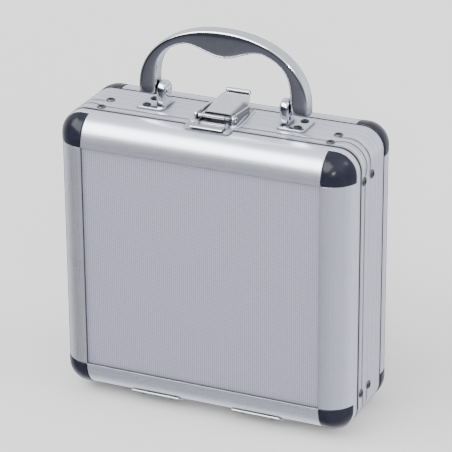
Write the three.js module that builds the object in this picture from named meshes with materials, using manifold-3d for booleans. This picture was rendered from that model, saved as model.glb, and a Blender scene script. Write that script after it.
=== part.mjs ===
// Miniature carry case: a small framed aluminium case that stands on its hinge side,
// with its latch and a folding handle on top and foam inside.
// Millimetres. X is the width, Y the depth with the lid facing -Y, and Z is up.
// The origin is under the middle of the case, on the surface that its feet stand on.
// Inside the case group, y is measured from the front face and z from the underside of the shell.
import * as THREE from 'three';
import { ConvexGeometry } from 'three/addons/geometries/ConvexGeometry.js';
import { mergeVertices } from 'three/addons/utils/BufferGeometryUtils.js';
import Module from 'manifold-3d';

const wasm = await Module();
wasm.setup();

// Shell
const caseWidth = 180;
const caseDepth = 73.8;
const caseHeight = 170.6;
const edgeRadius = 16.4;
const cornerRadius = 13;
const panelCornerRadius = 0.8;
const frameWall = 1.6;
const lidRim = 0.7;
const splitGap = 0.8;
const fitGap = 0.3;
const cutOverrun = 5;
const panelLip = 0.7;
const panelLap = 2;
const panelThickness = 2.4;
const tongueDepth = 3;
const tongueThickness = 1.2;
const flangeDepth = 2;
const frontRibWidth = 5.7;
const frontGrooveWidth = 0.7;
const frontGrooveDepth = 0.5;
const rearGrooveSetback = 20.9;
const rearGrooveWidth = 0.9;
const rearGrooveDepth = 0.8;

// Corner caps and the brackets riveted inside the base frame
const lidCapDepth = 12.6;
const baseCapDepth = 19.6;
const capProud = 0.2;
const bracketReach = 28;
const bracketThickness = 1.2;
const bracketWidth = 17.2;
const rivetInset = 20;
const rivetRowFront = 4.6;
const rivetRowPitch = 12;
const rivetHeadRadius = 2.6;
const rivetHeadHeight = 0.8;
const rivetShankRadius = 1.2;

// Feet
const footHeight = 4.6;
const footRadius = 5.5;
const footTopRadius = 6.2;
const footInset = 34;
const footRowFront = 9.6;
const footRowPitch = 24;
const footStudRadius = 2;
const footStudCollar = 2.9;

// Hinges
const hingeFootGap = 3;
const hingeLength = 30;
const knuckleRadius = 1.8;
const knuckleClearance = 0.35;
const hingePinRadius = 0.75;
const hingePinHead = 1.3;
const hingePinHeadLength = 0.6;
const leafThickness = 1.2;
const baseLeafReach = 13.5;
const lidLeafReach = 11.5;
const leafRivetSpacing = 18;
const leafRivetHead = 2;
const leafRivetHeadHeight = 0.6;

// Foam
const foamGap = 5;
const foamSideGap = 3.5;
const padThickness = 10;
const foamClearance = 6.6;
const pocketColumns = 3;
const pocketRows = 2;
const pocketFloor = 12;
const foamWall = 8;

// Handle and its mounts
const handleY = 38;
const handlePivotHeight = 9.9;
const handleInset = 38.8;
const handleRise = 50.7;
const handleThickness = 9;
const handleEdgeRound = 2.2;
const handleRoundShare = 0.45;
const outerShoulderHeight = 12;
const outerSquareness = 2.1;
const innerShoulderHeight = 14;
const innerSquareness = 3;
const legThickness = 9.7;
const legFootTaper = 1.4;
const crownThickness = 8.2;
const gripDrop = 7.6;
const gripInset = 15;
const legEndRadius = 4.5;
const handlePinRadius = 1.8;
const handlePinHead = 3.2;
const handlePinHeadLength = 1;
const handlePinReach = 7;
const earThickness = 5.7;
const earRadius = 5.5;
const earGap = 0.9;
const mountThickness = 1.4;
const mountLength = 19;
const mountWidth = 16.4;
const mountCorner = 2.4;
const mountScrewSpacing = 10.5;
const mountScrewRadius = 1.3;
const mountScrewHead = 2.4;
const mountScrewHeadHeight = 1;
const mountScrewSlot = 0.6;

// Latch
const latchPivotY = 25;
const latchPivotHeight = 3.6;
const latchPlateThickness = 0.9;
const latchPlateFront = 4.2;
const latchPlateBack = 27;
const latchPlateFrontWidth = 32;
const latchPlateBackWidth = 27;
const latchPlateCorner = 3;
const cheekThickness = 1.2;
const cheekRadius = 2.9;
const cheekLength = 20;
const cheekTailHeight = 2.2;
const leverWidth = 21;
const leverThickness = 1;
const leverOverhang = 1.9;
const leverRise = 1.2;
const leverFlange = 0.8;
const leverFlangeRadius = 2.1;
const leverFlangeLength = 17;
const leverFlangeTail = 1;
const leverTongueWidth = 16.2;
const leverSlotLength = 10;
const leverReach = 31;
const leverTabWidth = 14.6;
const leverTabLength = 8;
const leverTabRise = 5;
const latchPinRadius = 0.9;
const latchPinHead = 1.8;
const latchPinHeadLength = 0.6;
const hookPinOffset = 4.6;
const hookPinDrop = 0.6;
const hookPinRadius = 0.7;
const hookEyeRadius = 1.5;
const hookArmThickness = 1;
const hookArmHeight = 1.8;
const hookWidth = 20;
const hookThickness = 1;
const hookFront = 10.4;
const hookBack = 22.2;
const hookClaw = 1.1;
const keeperWidth = 30;
const keeperThickness = 1.2;
const keeperFront = 10.6;
const keeperBackInset = 0.3;
const keeperCorner = 3;
const keeperLip = 1;
const keeperLipWidth = 21;
const keeperLipHeight = 1.3;
const keeperRivetSpacing = 24.8;
const keeperRivetHead = 1.6;
const smallRivetRadius = 0.8;
const smallRivetHeight = 0.5;

// Facet counts
const arcSteps = 4;
const edgeSteps = 5;
const foamEdgeSteps = 3;
const turnSteps = 10;
const archSteps = 12;
const smallEdgeSteps = 2;

// Worked-out sizes
const halfWidth = caseWidth / 2;
const midHeight = caseHeight / 2;
const lidDepth = edgeRadius + lidRim;
const baseFront = lidDepth + splitGap;
const bandWidth = edgeRadius + panelLip;
const hingeY = lidDepth + splitGap / 2;
const hingeZ = -knuckleRadius - knuckleClearance;
const top = caseHeight;
const handleWidth = caseWidth - 2 * handleInset;
const footSpacing = caseWidth - 2 * footInset;
const hingeSpacing = footSpacing - 2 * (footTopRadius + hingeFootGap) - hingeLength;

// Materials
const satinAluminium = { color: 0xc3c6cd, roughness: 0.32, metalness: 0.9 };
const texturedSilver = { color: 0xabadb7, roughness: 0.45, metalness: 0.5 };
const navyPlastic = { color: 0x2b303f, roughness: 0.2, metalness: 0 };
const chrome = { color: 0xd5d7da, roughness: 0.08, metalness: 1 };
const steel = { color: 0x9c9ea3, roughness: 0.35, metalness: 0.9 };
const blackRubber = { color: 0x1d1d1f, roughness: 0.8, metalness: 0 };
const greyFoam = { color: 0x2e2f33, roughness: 0.95, metalness: 0 };

const shell = new THREE.Group();
shell.position.set(0, -caseDepth / 2, footHeight);
const group = new THREE.Group();
group.add(shell);

// Geometry helpers
const unitX = new THREE.Vector3(1, 0, 0);
const unitY = new THREE.Vector3(0, 1, 0);
const unitZ = new THREE.Vector3(0, 0, 1);
const down = unitZ.clone().negate();
const alongXBasis = new THREE.Matrix4().makeBasis(unitY, unitZ, unitX);
const alongYBasis = new THREE.Matrix4().makeBasis(unitX, unitZ, unitY.clone().negate());

function solid(geometry) {
  geometry.deleteAttribute('normal');
  geometry.deleteAttribute('uv');
  const merged = mergeVertices(geometry);
  return new wasm.Manifold(new wasm.Mesh({
    numProp: 3,
    vertProperties: new Float32Array(merged.attributes.position.array),
    triVerts: new Uint32Array(merged.index.array),
  }));
}

function join(pieces) {
  return pieces.reduce((whole, piece) => whole.add(piece));
}

function cut(piece, tools) {
  return tools.reduce((rest, tool) => rest.subtract(tool), piece);
}

function add(name, piece, look) {
  const mesh = piece.getMesh();
  const geometry = new THREE.BufferGeometry();
  geometry.setAttribute('position', new THREE.BufferAttribute(mesh.vertProperties, mesh.numProp));
  geometry.setIndex(new THREE.BufferAttribute(mesh.triVerts, 1));
  geometry.computeVertexNormals();
  const node = new THREE.Mesh(geometry, new THREE.MeshStandardMaterial(look));
  node.name = name;
  shell.add(node);
  return node;
}

function block([x0, x1], [y0, y1], [z0, z1]) {
  const geometry = new THREE.BoxGeometry(Math.abs(x1 - x0), Math.abs(y1 - y0), Math.abs(z1 - z0));
  geometry.translate((x0 + x1) / 2, (y0 + y1) / 2, (z0 + z1) / 2);
  return solid(geometry);
}

function extrude(shape, from, to, basis, round = 0, roundSteps = smallEdgeSteps) {
  const geometry = new THREE.ExtrudeGeometry(shape, {
    depth: to - from - 2 * round,
    steps: 1,
    curveSegments: arcSteps,
    bevelEnabled: round > 0,
    bevelThickness: round,
    bevelSize: round,
    bevelOffset: -round,
    bevelSegments: roundSteps,
  });
  geometry.translate(0, 0, from + round);
  return solid(geometry.applyMatrix4(basis));
}

// The shape's x is Y and its y is Z.
function alongX(shape, from, to) {
  return extrude(shape, from, to, alongXBasis);
}

// The shape's x is X and its y is Z.
function alongY(shape, from, to, round, roundSteps) {
  return extrude(shape, -to, -from, alongYBasis, round, roundSteps);
}

function alongZ(shape, from, to) {
  return extrude(shape, from, to, new THREE.Matrix4());
}

function outline(points) {
  return new THREE.Shape(points.map(([x, y]) => new THREE.Vector2(x, y)));
}

function roundedRectangle(x0, x1, y0, y1, radius) {
  const shape = new THREE.Shape();
  shape.moveTo(x0 + radius, y0);
  shape.lineTo(x1 - radius, y0);
  shape.absarc(x1 - radius, y0 + radius, radius, -Math.PI / 2, 0);
  shape.lineTo(x1, y1 - radius);
  shape.absarc(x1 - radius, y1 - radius, radius, 0, Math.PI / 2);
  shape.lineTo(x0 + radius, y1);
  shape.absarc(x0 + radius, y1 - radius, radius, Math.PI / 2, Math.PI);
  shape.lineTo(x0, y0 + radius);
  shape.absarc(x0 + radius, y0 + radius, radius, Math.PI, 3 * Math.PI / 2);
  return shape;
}

// A round bar between two points
function rod(from, to, radius) {
  const start = new THREE.Vector3(...from);
  const axis = new THREE.Vector3(...to).sub(start);
  const geometry = new THREE.CylinderGeometry(radius, radius, axis.length(), turnSteps);
  geometry.applyQuaternion(new THREE.Quaternion().setFromUnitVectors(unitY, axis.clone().normalize()));
  geometry.translate(...start.addScaledVector(axis, 1 / 2).toArray());
  return solid(geometry);
}

// A turned piece: the profile is a list of radius and height, and height runs outward along the axis.
function turned(profile, at, axis) {
  const points = profile.map(([radius, height]) => new THREE.Vector2(radius, height));
  const geometry = new THREE.LatheGeometry(points, turnSteps);
  geometry.applyQuaternion(new THREE.Quaternion().setFromUnitVectors(unitY, axis));
  geometry.translate(...at);
  return solid(geometry);
}

// A set rivet or pin: a shank of the given length behind a domed head
function domedPin(at, axis, shankRadius, shankLength, headRadius, headHeight) {
  const headProfile = Array.from({ length: smallEdgeSteps + 1 }, (unused, step) => {
    const angle = step / (smallEdgeSteps + 1) * Math.PI / 2;
    return [headRadius * Math.cos(angle), headHeight * Math.sin(angle)];
  });
  const profile = [[0, -shankLength], [shankRadius, -shankLength], [shankRadius, 0]];
  return turned([...profile, ...headProfile, [0, headHeight]], at, axis);
}

// The outside form of the whole case, taken in by an inset: outlines that close in along
// the quarter-round at the front and back while their corners grow tighter
function caseForm(inset, steps = edgeSteps) {
  const round = edgeRadius - inset;
  const points = Array.from({ length: steps + 1 }, (unused, step) => {
    const angle = step / steps * Math.PI / 2;
    const reach = inset + round * (1 - Math.sin(angle));
    const depth = inset + round * (1 - Math.cos(angle));
    const radius = panelCornerRadius + (cornerRadius - inset - panelCornerRadius) * Math.sin(angle);
    const side = halfWidth - reach;
    const shape = roundedRectangle(-side, side, reach, caseHeight - reach, radius);
    return shape.getPoints(arcSteps).flatMap(({ x, y }) => [
      new THREE.Vector3(x, depth, y),
      new THREE.Vector3(x, caseDepth - depth, y),
    ]);
  });
  return solid(new ConvexGeometry(points.flat()));
}

// All that lies between two depths
function slice(from, to) {
  return block(
    [-halfWidth - cutOverrun, halfWidth + cutOverrun],
    [from, to],
    [-footHeight - cutOverrun, caseHeight + cutOverrun],
  );
}

// A ring between two insets of the case form, from one depth to another
function ring(outerInset, innerInset, from, to) {
  return cut(caseForm(outerInset), [caseForm(innerInset)]).intersect(slice(from, to));
}

// The block at one corner, reaching in from both outer faces
function cornerBlock(side, end, reach, from, to) {
  return block(
    [side * (halfWidth - reach), side * (halfWidth + cutOverrun)],
    [from, to],
    [midHeight + end * (midHeight - reach), midHeight + end * (midHeight + cutOverrun)],
  );
}

const sides = [['left', -1], ['right', 1]];
const ends = [['bottom', -1], ['top', 1]];
const corners = ends.flatMap(([endName, end]) => sides.map(([sideName, side]) => (
  { name: `${endName}_${sideName}`, side, end }
)));

const outside = caseForm(0);
const hollow = caseForm(frameWall);
const skin = cut(outside, [hollow]);

// Corner caps and the notches that they fill
function capNotches(from, to) {
  return corners.map(({ side, end }) => cornerBlock(side, end, bandWidth, from, to));
}

function addCaps(prefix, from, to) {
  const capSkin = cut(caseForm(-capProud), [hollow]);
  for (const { name, side, end } of corners) {
    const room = cornerBlock(side, end, bandWidth - fitGap, from, to);
    add(`${prefix}_corner_cap_${name}`, capSkin.intersect(room), navyPlastic);
  }
}

function window(from, to) {
  return block(
    [bandWidth - halfWidth, halfWidth - bandWidth],
    [from, to],
    [bandWidth, caseHeight - bandWidth],
  );
}

function panel(from, to) {
  const reach = bandWidth - panelLap;
  return block(
    [reach - halfWidth, halfWidth - reach],
    [from, to],
    [reach, caseHeight - reach],
  );
}

// The rivets of one corner bracket: two rows, through the flat face and through the side
function cornerRivetSeats(side, end) {
  const rows = [0, 1].map((row) => baseFront + rivetRowFront + row * rivetRowPitch);
  return rows.flatMap((y) => [
    {
      at: [side * (halfWidth - rivetInset), y, midHeight + end * midHeight],
      axis: unitZ.clone().multiplyScalar(end),
    },
    {
      at: [side * halfWidth, y, midHeight + end * (midHeight - rivetInset)],
      axis: unitX.clone().multiplyScalar(side),
    },
  ]);
}

// A hole through the frame wall, square to the face that it starts on
function hole(at, axis, radius) {
  const outer = new THREE.Vector3(...at).addScaledVector(axis, cutOverrun);
  const inner = new THREE.Vector3(...at).addScaledVector(axis, -frameWall - cutOverrun);
  return rod(inner.toArray(), outer.toArray(), radius);
}

// Places of the small fasteners and feet
const footSeats = sides.flatMap(([sideName, side]) => ['front', 'rear'].map((rowName, row) => ({
  name: `foot_${rowName}_${sideName}`,
  at: [side * footSpacing / 2, baseFront + footRowFront + row * footRowPitch, 0],
})));
const mountCentreX = handleWidth / 2 - legThickness - earGap - earThickness + mountWidth / 2;
const mountScrewX = handleWidth / 2 - legThickness / 2;
const mountScrewSeats = sides.flatMap(([sideName, side]) => ['front', 'rear'].map((rowName, row) => ({
  name: `handle_mount_screw_${rowName}_${sideName}`,
  at: [side * mountScrewX, handleY + (row - 1 / 2) * mountScrewSpacing, top + mountThickness],
})));
const baseLeafRivetY = baseFront + baseLeafReach * 2 / 3;
const lidLeafRivetY = lidDepth - lidLeafReach / 2;
const lidRivetOff = edgeRadius - lidLeafRivetY + leafRivetHead;
const lidRivetSeat = edgeRadius - Math.sqrt((edgeRadius - frameWall) ** 2 - lidRivetOff ** 2) + fitGap;
const latchRivetY = latchPivotY + latchPlateBack / 2;
const latchRivetSeats = [-1, 1].map(
  (side) => [side * leverWidth / 4, latchRivetY, top + latchPlateThickness],
);
const keeperY = baseFront - tongueDepth - fitGap - smallRivetRadius;
const keeperRivetSeats = [-1, 1].map(
  (side) => [side * keeperRivetSpacing / 2, keeperY, top + keeperThickness],
);

function leafRivetSeats(side, y) {
  return [-1, 1].map((end) => [side * hingeSpacing / 2 + end * leafRivetSpacing / 2, y, 0]);
}

// Base frame: the rear quarter-round and the wide band, with a tongue that enters the lid
function baseFrame() {
  const rearGroove = caseDepth - rearGrooveSetback;
  const frontGroove = baseFront + frontRibWidth;
  const body = join([
    skin.intersect(slice(baseFront, caseDepth + cutOverrun)),
    ring(frameWall / 2, frameWall + fitGap + tongueThickness, baseFront, baseFront + flangeDepth),
    ring(
      frameWall + fitGap,
      frameWall + fitGap + tongueThickness,
      baseFront - tongueDepth,
      baseFront + flangeDepth / 2,
    ),
  ]);
  const bracketHoles = corners.flatMap(({ side, end }) => cornerRivetSeats(side, end).map(
    ({ at, axis }) => hole(at, axis, rivetShankRadius + fitGap),
  ));
  return cut(body, [
    window(caseDepth - panelThickness, caseDepth + cutOverrun),
    ring(-cutOverrun, frontGrooveDepth, frontGroove, frontGroove + frontGrooveWidth),
    ring(-cutOverrun, rearGrooveDepth, rearGroove, rearGroove + rearGrooveWidth),
    ...capNotches(caseDepth - baseCapDepth, caseDepth + cutOverrun),
    ...bracketHoles,
    ...footSeats.map(({ at }) => hole(at, down, footStudRadius + fitGap)),
    ...mountScrewSeats.map(({ at }) => hole(at, unitZ, mountScrewRadius + fitGap)),
    ...latchRivetSeats.map((at) => hole(at, unitZ, smallRivetRadius + fitGap)),
    ...[-1, 1].flatMap((side) => leafRivetSeats(side, baseLeafRivetY)).map(
      (at) => hole(at, down, rivetShankRadius + fitGap),
    ),
  ]);
}

// Lid frame: the front quarter-round with its rim
function lidFrame() {
  const body = skin.intersect(slice(-cutOverrun, lidDepth));
  return cut(body, [
    window(-cutOverrun, frameWall + fitGap),
    ...capNotches(-cutOverrun, lidCapDepth),
    ...keeperRivetSeats.map((at) => hole(at, unitZ, smallRivetRadius + fitGap)),
    ...[-1, 1].flatMap((side) => leafRivetSeats(side, lidLeafRivetY)).map(
      (at) => hole(at, down, rivetShankRadius + fitGap),
    ),
  ]);
}

add('base_frame', baseFrame(), satinAluminium);
add('lid_frame', lidFrame(), satinAluminium);
addCaps('lid', -cutOverrun, lidCapDepth - fitGap);
addCaps('base', caseDepth - baseCapDepth + fitGap, caseDepth + cutOverrun);

const panelFace = frameWall + fitGap;
add('front_panel', panel(panelFace, panelFace + panelThickness), texturedSilver);
add('back_panel', panel(caseDepth - panelFace - panelThickness, caseDepth - panelFace), texturedSilver);

// Corner brackets inside the base, each with its four set rivets
for (const { name, side, end } of corners) {
  const plateInset = frameWall + fitGap;
  const plateFront = baseFront + flangeDepth + fitGap;
  const plate = ring(plateInset, plateInset + bracketThickness, plateFront, plateFront + bracketWidth)
    .intersect(cornerBlock(side, end, bracketReach, 0, caseDepth));
  const shankLength = plateInset + bracketThickness;
  const rivets = cornerRivetSeats(side, end).map(({ at, axis }) => (
    domedPin(at, axis, rivetShankRadius, shankLength, rivetHeadRadius, rivetHeadHeight)
  ));
  add(`corner_bracket_${name}`, join([plate, ...rivets]), steel);
}

// Rubber feet pushed into the underside of the base
for (const { name, at } of footSeats) {
  const profile = [
    [0, -frameWall - fitGap - leafThickness],
    [footStudRadius, -frameWall - fitGap - leafThickness],
    [footStudCollar, -frameWall - fitGap],
    [footStudRadius, -frameWall - fitGap],
    [footStudRadius, 0],
    [footTopRadius, 0],
    [footRadius, footHeight],
    [0, footHeight],
  ];
  add(name, turned(profile, at, down), blackRubber);
}

// Foam tray in the base, with pockets that open to the lid
function trayPockets(from, to) {
  const innerWidth = caseWidth - 2 * (foamGap + foamWall);
  const innerHeight = caseHeight - 2 * (foamGap + foamWall);
  const pocketWidth = (innerWidth - (pocketColumns - 1) * foamWall) / pocketColumns;
  const pocketHeight = (innerHeight - (pocketRows - 1) * foamWall) / pocketRows;
  const pockets = [];
  for (let row = 0; row < pocketRows; row += 1) {
    for (let column = 0; column < pocketColumns; column += 1) {
      const x = -innerWidth / 2 + column * (pocketWidth + foamWall);
      const z = foamGap + foamWall + row * (pocketHeight + foamWall);
      pockets.push(block([x, x + pocketWidth], [from, to], [z, z + pocketHeight]));
    }
  }
  return pockets;
}

const padFront = panelFace + panelThickness + fitGap;
const trayFront = padFront + padThickness + foamClearance;
const trayBack = caseDepth - panelFace - panelThickness - fitGap;
const foamRoom = block(
  [foamGap - halfWidth, halfWidth - foamGap],
  [0, caseDepth],
  [foamGap, caseHeight - foamGap],
).intersect(caseForm(foamSideGap, foamEdgeSteps));
const tray = cut(
  foamRoom.intersect(slice(trayFront, trayBack)),
  trayPockets(trayFront - cutOverrun, trayBack - pocketFloor),
);
add('foam_tray', tray, greyFoam);
add('lid_foam_pad', foamRoom.intersect(slice(padFront, padFront + padThickness)), greyFoam);

// Hinges: a flat leaf under the base, a leaf formed round the lid's edge, and a pin
function knuckle(x0, x1) {
  return cut(
    rod([x0, hingeY, hingeZ], [x1, hingeY, hingeZ], knuckleRadius),
    [rod([x0 - cutOverrun, hingeY, hingeZ], [x1 + cutOverrun, hingeY, hingeZ], hingePinRadius + fitGap)],
  );
}

const boreRoom = hingePinRadius + fitGap;
for (const [sideName, side] of sides) {
  const centre = side * hingeSpacing / 2;
  const third = hingeLength / 3;
  const x0 = centre - hingeLength / 2;
  const x1 = centre + hingeLength / 2;
  const middle = [x0 + third + fitGap / 2, x1 - third - fitGap / 2];
  const outerKnuckles = [[x0, x0 + third - fitGap / 2], [x1 - third + fitGap / 2, x1]];
  const plateGap = knuckleRadius + fitGap;

  const basePlate = block([x0, x1], [hingeY + plateGap, baseFront + baseLeafReach], [-leafThickness, 0]);
  const baseWeb = block(middle, [hingeY, hingeY + plateGap + fitGap], [hingeZ + boreRoom, 0]);
  const baseRivets = leafRivetSeats(side, baseLeafRivetY).map(([x, y]) => join([
    domedPin(
      [x, y, -leafThickness], down,
      rivetShankRadius, leafThickness + frameWall + leafRivetHeadHeight,
      leafRivetHead, leafRivetHeadHeight,
    ),
    rod([x, y, frameWall], [x, y, frameWall + leafRivetHeadHeight], leafRivetHead),
  ]));
  add(`hinge_base_leaf_${sideName}`, join([basePlate, baseWeb, knuckle(...middle), ...baseRivets]), steel);

  const lidPlate = cut(caseForm(-fitGap - leafThickness), [caseForm(-fitGap)]).intersect(
    block([x0, x1], [lidDepth - lidLeafReach, hingeY - plateGap], [-cutOverrun, edgeRadius]),
  );
  const lidWebs = outerKnuckles.map((reach) => (
    block(reach, [hingeY - plateGap - fitGap, hingeY], [-fitGap - leafThickness, -fitGap])
  ));
  const lidKnuckles = outerKnuckles.map((reach) => knuckle(...reach));
  const lidRivets = leafRivetSeats(side, lidLeafRivetY).map(([x, y]) => join([
    domedPin(
      [x, y, -leafThickness], down,
      rivetShankRadius, leafThickness + lidRivetSeat + leafRivetHeadHeight,
      leafRivetHead, leafRivetHeadHeight,
    ),
    rod([x, y, lidRivetSeat], [x, y, lidRivetSeat + leafRivetHeadHeight], leafRivetHead),
  ]));
  const bore = rod([x0 - cutOverrun, hingeY, hingeZ], [x1 + cutOverrun, hingeY, hingeZ], boreRoom);
  const lidLeaf = cut(join([lidPlate, ...lidWebs, ...lidKnuckles, ...lidRivets]), [bore]);
  add(`hinge_lid_leaf_${sideName}`, lidLeaf, steel);

  const pinPiece = (from, to, radius) => rod([from, hingeY, hingeZ], [to, hingeY, hingeZ], radius);
  const pinLow = x0 - fitGap;
  const pinHigh = x1 + fitGap;
  add(`hinge_pin_${sideName}`, join([
    pinPiece(pinLow, pinHigh, hingePinRadius),
    pinPiece(pinLow - hingePinHeadLength, pinLow, hingePinHead),
    pinPiece(pinHigh, pinHigh + hingePinHeadLength, hingePinHead),
  ]), steel);
}

// Handle: an arch between two rounded outlines, with a grip that hangs lower in the middle
function archPoint(halfSpan, shoulder, crest, squareness, turn) {
  const share = Math.abs(Math.cos(turn)) ** squareness;
  const z = top + shoulder + (crest - shoulder) * (1 - share) ** (1 / squareness);
  return [halfSpan * Math.cos(turn), z];
}

function handleOutlines() {
  const footZ = top + handlePivotHeight - legEndRadius;
  const halfOuter = handleWidth / 2;
  const halfInner = halfOuter - legThickness;
  const innerCrest = handleRise - crownThickness;
  const turns = Array.from({ length: 2 * archSteps + 1 }, (unused, step) => step / archSteps * Math.PI / 2);
  const outer = turns.map(
    (turn) => archPoint(halfOuter, outerShoulderHeight, handleRise, outerSquareness, turn),
  );
  const inner = turns.map((turn) => {
    const [x, z] = archPoint(halfInner, innerShoulderHeight, innerCrest, innerSquareness, turn);
    const nearGrip = Math.min(Math.abs(x) / (halfInner - gripInset), 1);
    return [x, z - gripDrop * (1 + Math.cos(Math.PI * nearGrip)) / 2];
  });
  const walls = outer.flatMap(([x0, z0]) => inner.map(([x1, z1]) => Math.hypot(x1 - x0, z1 - z0)));
  const wall = Math.min(...walls);
  const shape = outline([
    [halfOuter, footZ],
    ...outer,
    [-halfOuter, footZ],
    [-halfInner - legFootTaper, footZ],
    ...inner.reverse(),
    [halfInner + legFootTaper, footZ],
  ]);
  return { shape, round: Math.min(handleEdgeRound, wall * handleRoundShare) };
}

function handleSide() {
  const pivotZ = top + handlePivotHeight;
  const half = handleThickness / 2;
  const shape = new THREE.Shape();
  shape.moveTo(handleY + half, pivotZ);
  shape.lineTo(handleY + half, top + handleRise + cutOverrun);
  shape.lineTo(handleY - half, top + handleRise + cutOverrun);
  shape.lineTo(handleY - half, pivotZ);
  shape.absellipse(handleY, pivotZ, half, legEndRadius, Math.PI, 2 * Math.PI);
  return alongX(shape, -handleWidth, handleWidth);
}

const handlePivot = [handleY, top + handlePivotHeight];
const legInside = handleWidth / 2 - legThickness;
const { shape: handleShape, round: handleRound } = handleOutlines();
const handleBlank = alongY(
  handleShape,
  handleY - handleThickness / 2,
  handleY + handleThickness / 2,
  handleRound,
).intersect(handleSide());
const pinHoles = sides.map(([, side]) => rod(
  [side * (legInside - cutOverrun), ...handlePivot],
  [side * (legInside + handlePinReach + fitGap), ...handlePivot],
  handlePinRadius + fitGap,
));
add('handle', cut(handleBlank, pinHoles), chrome);

// Handle mounts, each a plate with one ear inboard of the leg, its screws and its pivot pin
for (const [sideName, side] of sides) {
  const earOuter = side * (legInside - earGap);
  const earInner = side * (legInside - earGap - earThickness);
  const centre = side * mountCentreX;
  const plate = alongZ(
    roundedRectangle(
      centre - mountWidth / 2,
      centre + mountWidth / 2,
      handleY - mountLength / 2,
      handleY + mountLength / 2,
      mountCorner,
    ),
    top,
    top + mountThickness,
  );
  const earShape = new THREE.Shape();
  earShape.moveTo(handleY + earRadius, top + mountThickness / 2);
  earShape.lineTo(handleY + earRadius, top + handlePivotHeight);
  earShape.absarc(handleY, top + handlePivotHeight, earRadius, 0, Math.PI);
  earShape.lineTo(handleY - earRadius, top + mountThickness / 2);
  const ear = alongX(earShape, Math.min(earInner, earOuter), Math.max(earInner, earOuter));
  const pinHole = rod(
    [earInner - side * cutOverrun, ...handlePivot],
    [earOuter + side * cutOverrun, ...handlePivot],
    handlePinRadius + fitGap,
  );
  const screwHoles = mountScrewSeats.map(({ at }) => hole(at, unitZ, mountScrewRadius + fitGap));
  add(`handle_mount_${sideName}`, cut(join([plate, ear]), [pinHole, ...screwHoles]), chrome);

  const pinAxis = unitX.clone().multiplyScalar(-side);
  const pinLength = earThickness + earGap + handlePinReach;
  add(`handle_pin_${sideName}`, domedPin(
    [earInner, ...handlePivot], pinAxis, handlePinRadius, pinLength, handlePinHead, handlePinHeadLength,
  ), chrome);
}

for (const { name, at } of mountScrewSeats) {
  const shank = mountThickness + 2 * frameWall;
  const [x, y, z] = at;
  const slot = block(
    [x - mountScrewHead - cutOverrun, x + mountScrewHead + cutOverrun],
    [y - mountScrewSlot / 2, y + mountScrewSlot / 2],
    [z + mountScrewHeadHeight - mountScrewSlot, z + cutOverrun],
  );
  const screw = domedPin(at, unitZ, mountScrewRadius, shank, mountScrewHead, mountScrewHeadHeight);
  add(name, cut(screw, [slot]), steel);
}

// Latch base: a plate with two cheeks that carry the lever
const cheekInside = leverWidth / 2 + fitGap;
const latchPivot = [latchPivotY, top + latchPivotHeight];

function latchBase() {
  const front = latchPivotY - latchPlateFront;
  const back = latchPivotY + latchPlateBack;
  const halfFront = latchPlateFrontWidth / 2;
  const halfBack = latchPlateBackWidth / 2;
  const plate = alongZ(outline([
    [latchPlateCorner - halfFront, front],
    [halfFront - latchPlateCorner, front],
    [halfFront, front + latchPlateCorner],
    [halfBack, back - latchPlateCorner],
    [halfBack - latchPlateCorner, back],
    [latchPlateCorner - halfBack, back],
    [-halfBack, back - latchPlateCorner],
    [-halfFront, front + latchPlateCorner],
  ]), top, top + latchPlateThickness);
  const cheek = new THREE.Shape();
  const cheekFoot = top + latchPlateThickness / 2;
  cheek.moveTo(latchPivotY - cheekRadius, cheekFoot);
  cheek.lineTo(latchPivotY + cheekLength, cheekFoot);
  cheek.lineTo(latchPivotY + cheekLength, cheekFoot + cheekTailHeight / 2);
  cheek.lineTo(latchPivotY + cheekRadius / 2, top + latchPivotHeight + cheekRadius * Math.sqrt(3) / 2);
  cheek.absarc(latchPivotY, top + latchPivotHeight, cheekRadius, Math.PI / 3, Math.PI);
  const cheeks = [-1, 1].map((side) => {
    const inner = side * cheekInside;
    const outer = side * (cheekInside + cheekThickness);
    return alongX(cheek, Math.min(inner, outer), Math.max(inner, outer));
  });
  const pinHole = rod([-leverWidth, ...latchPivot], [leverWidth, ...latchPivot], latchPinRadius + fitGap);
  const rivets = latchRivetSeats.map((at) => domedPin(
    at, unitZ, smallRivetRadius, latchPlateThickness + 2 * frameWall, latchPinHead, smallRivetHeight,
  ));
  return join([cut(join([plate, ...cheeks]), [pinHole]), ...rivets]);
}

add('latch_base', latchBase(), chrome);
for (const [sideName, side] of sides) {
  const seat = side * (cheekInside + cheekThickness + fitGap / 2);
  const shank = fitGap / 2 + cheekThickness + fitGap + leverFlange;
  const axis = unitX.clone().multiplyScalar(side);
  add(`latch_pin_${sideName}`, domedPin(
    [seat, ...latchPivot], axis, latchPinRadius, shank, latchPinHead, latchPinHeadLength,
  ), chrome);
}

// Latch lever: a bent plate with a raised tab, slots for the hook's arms and a flange on each side
const hookPivot = [latchPivotY + hookPinOffset, top + latchPivotHeight - hookPinDrop];

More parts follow.
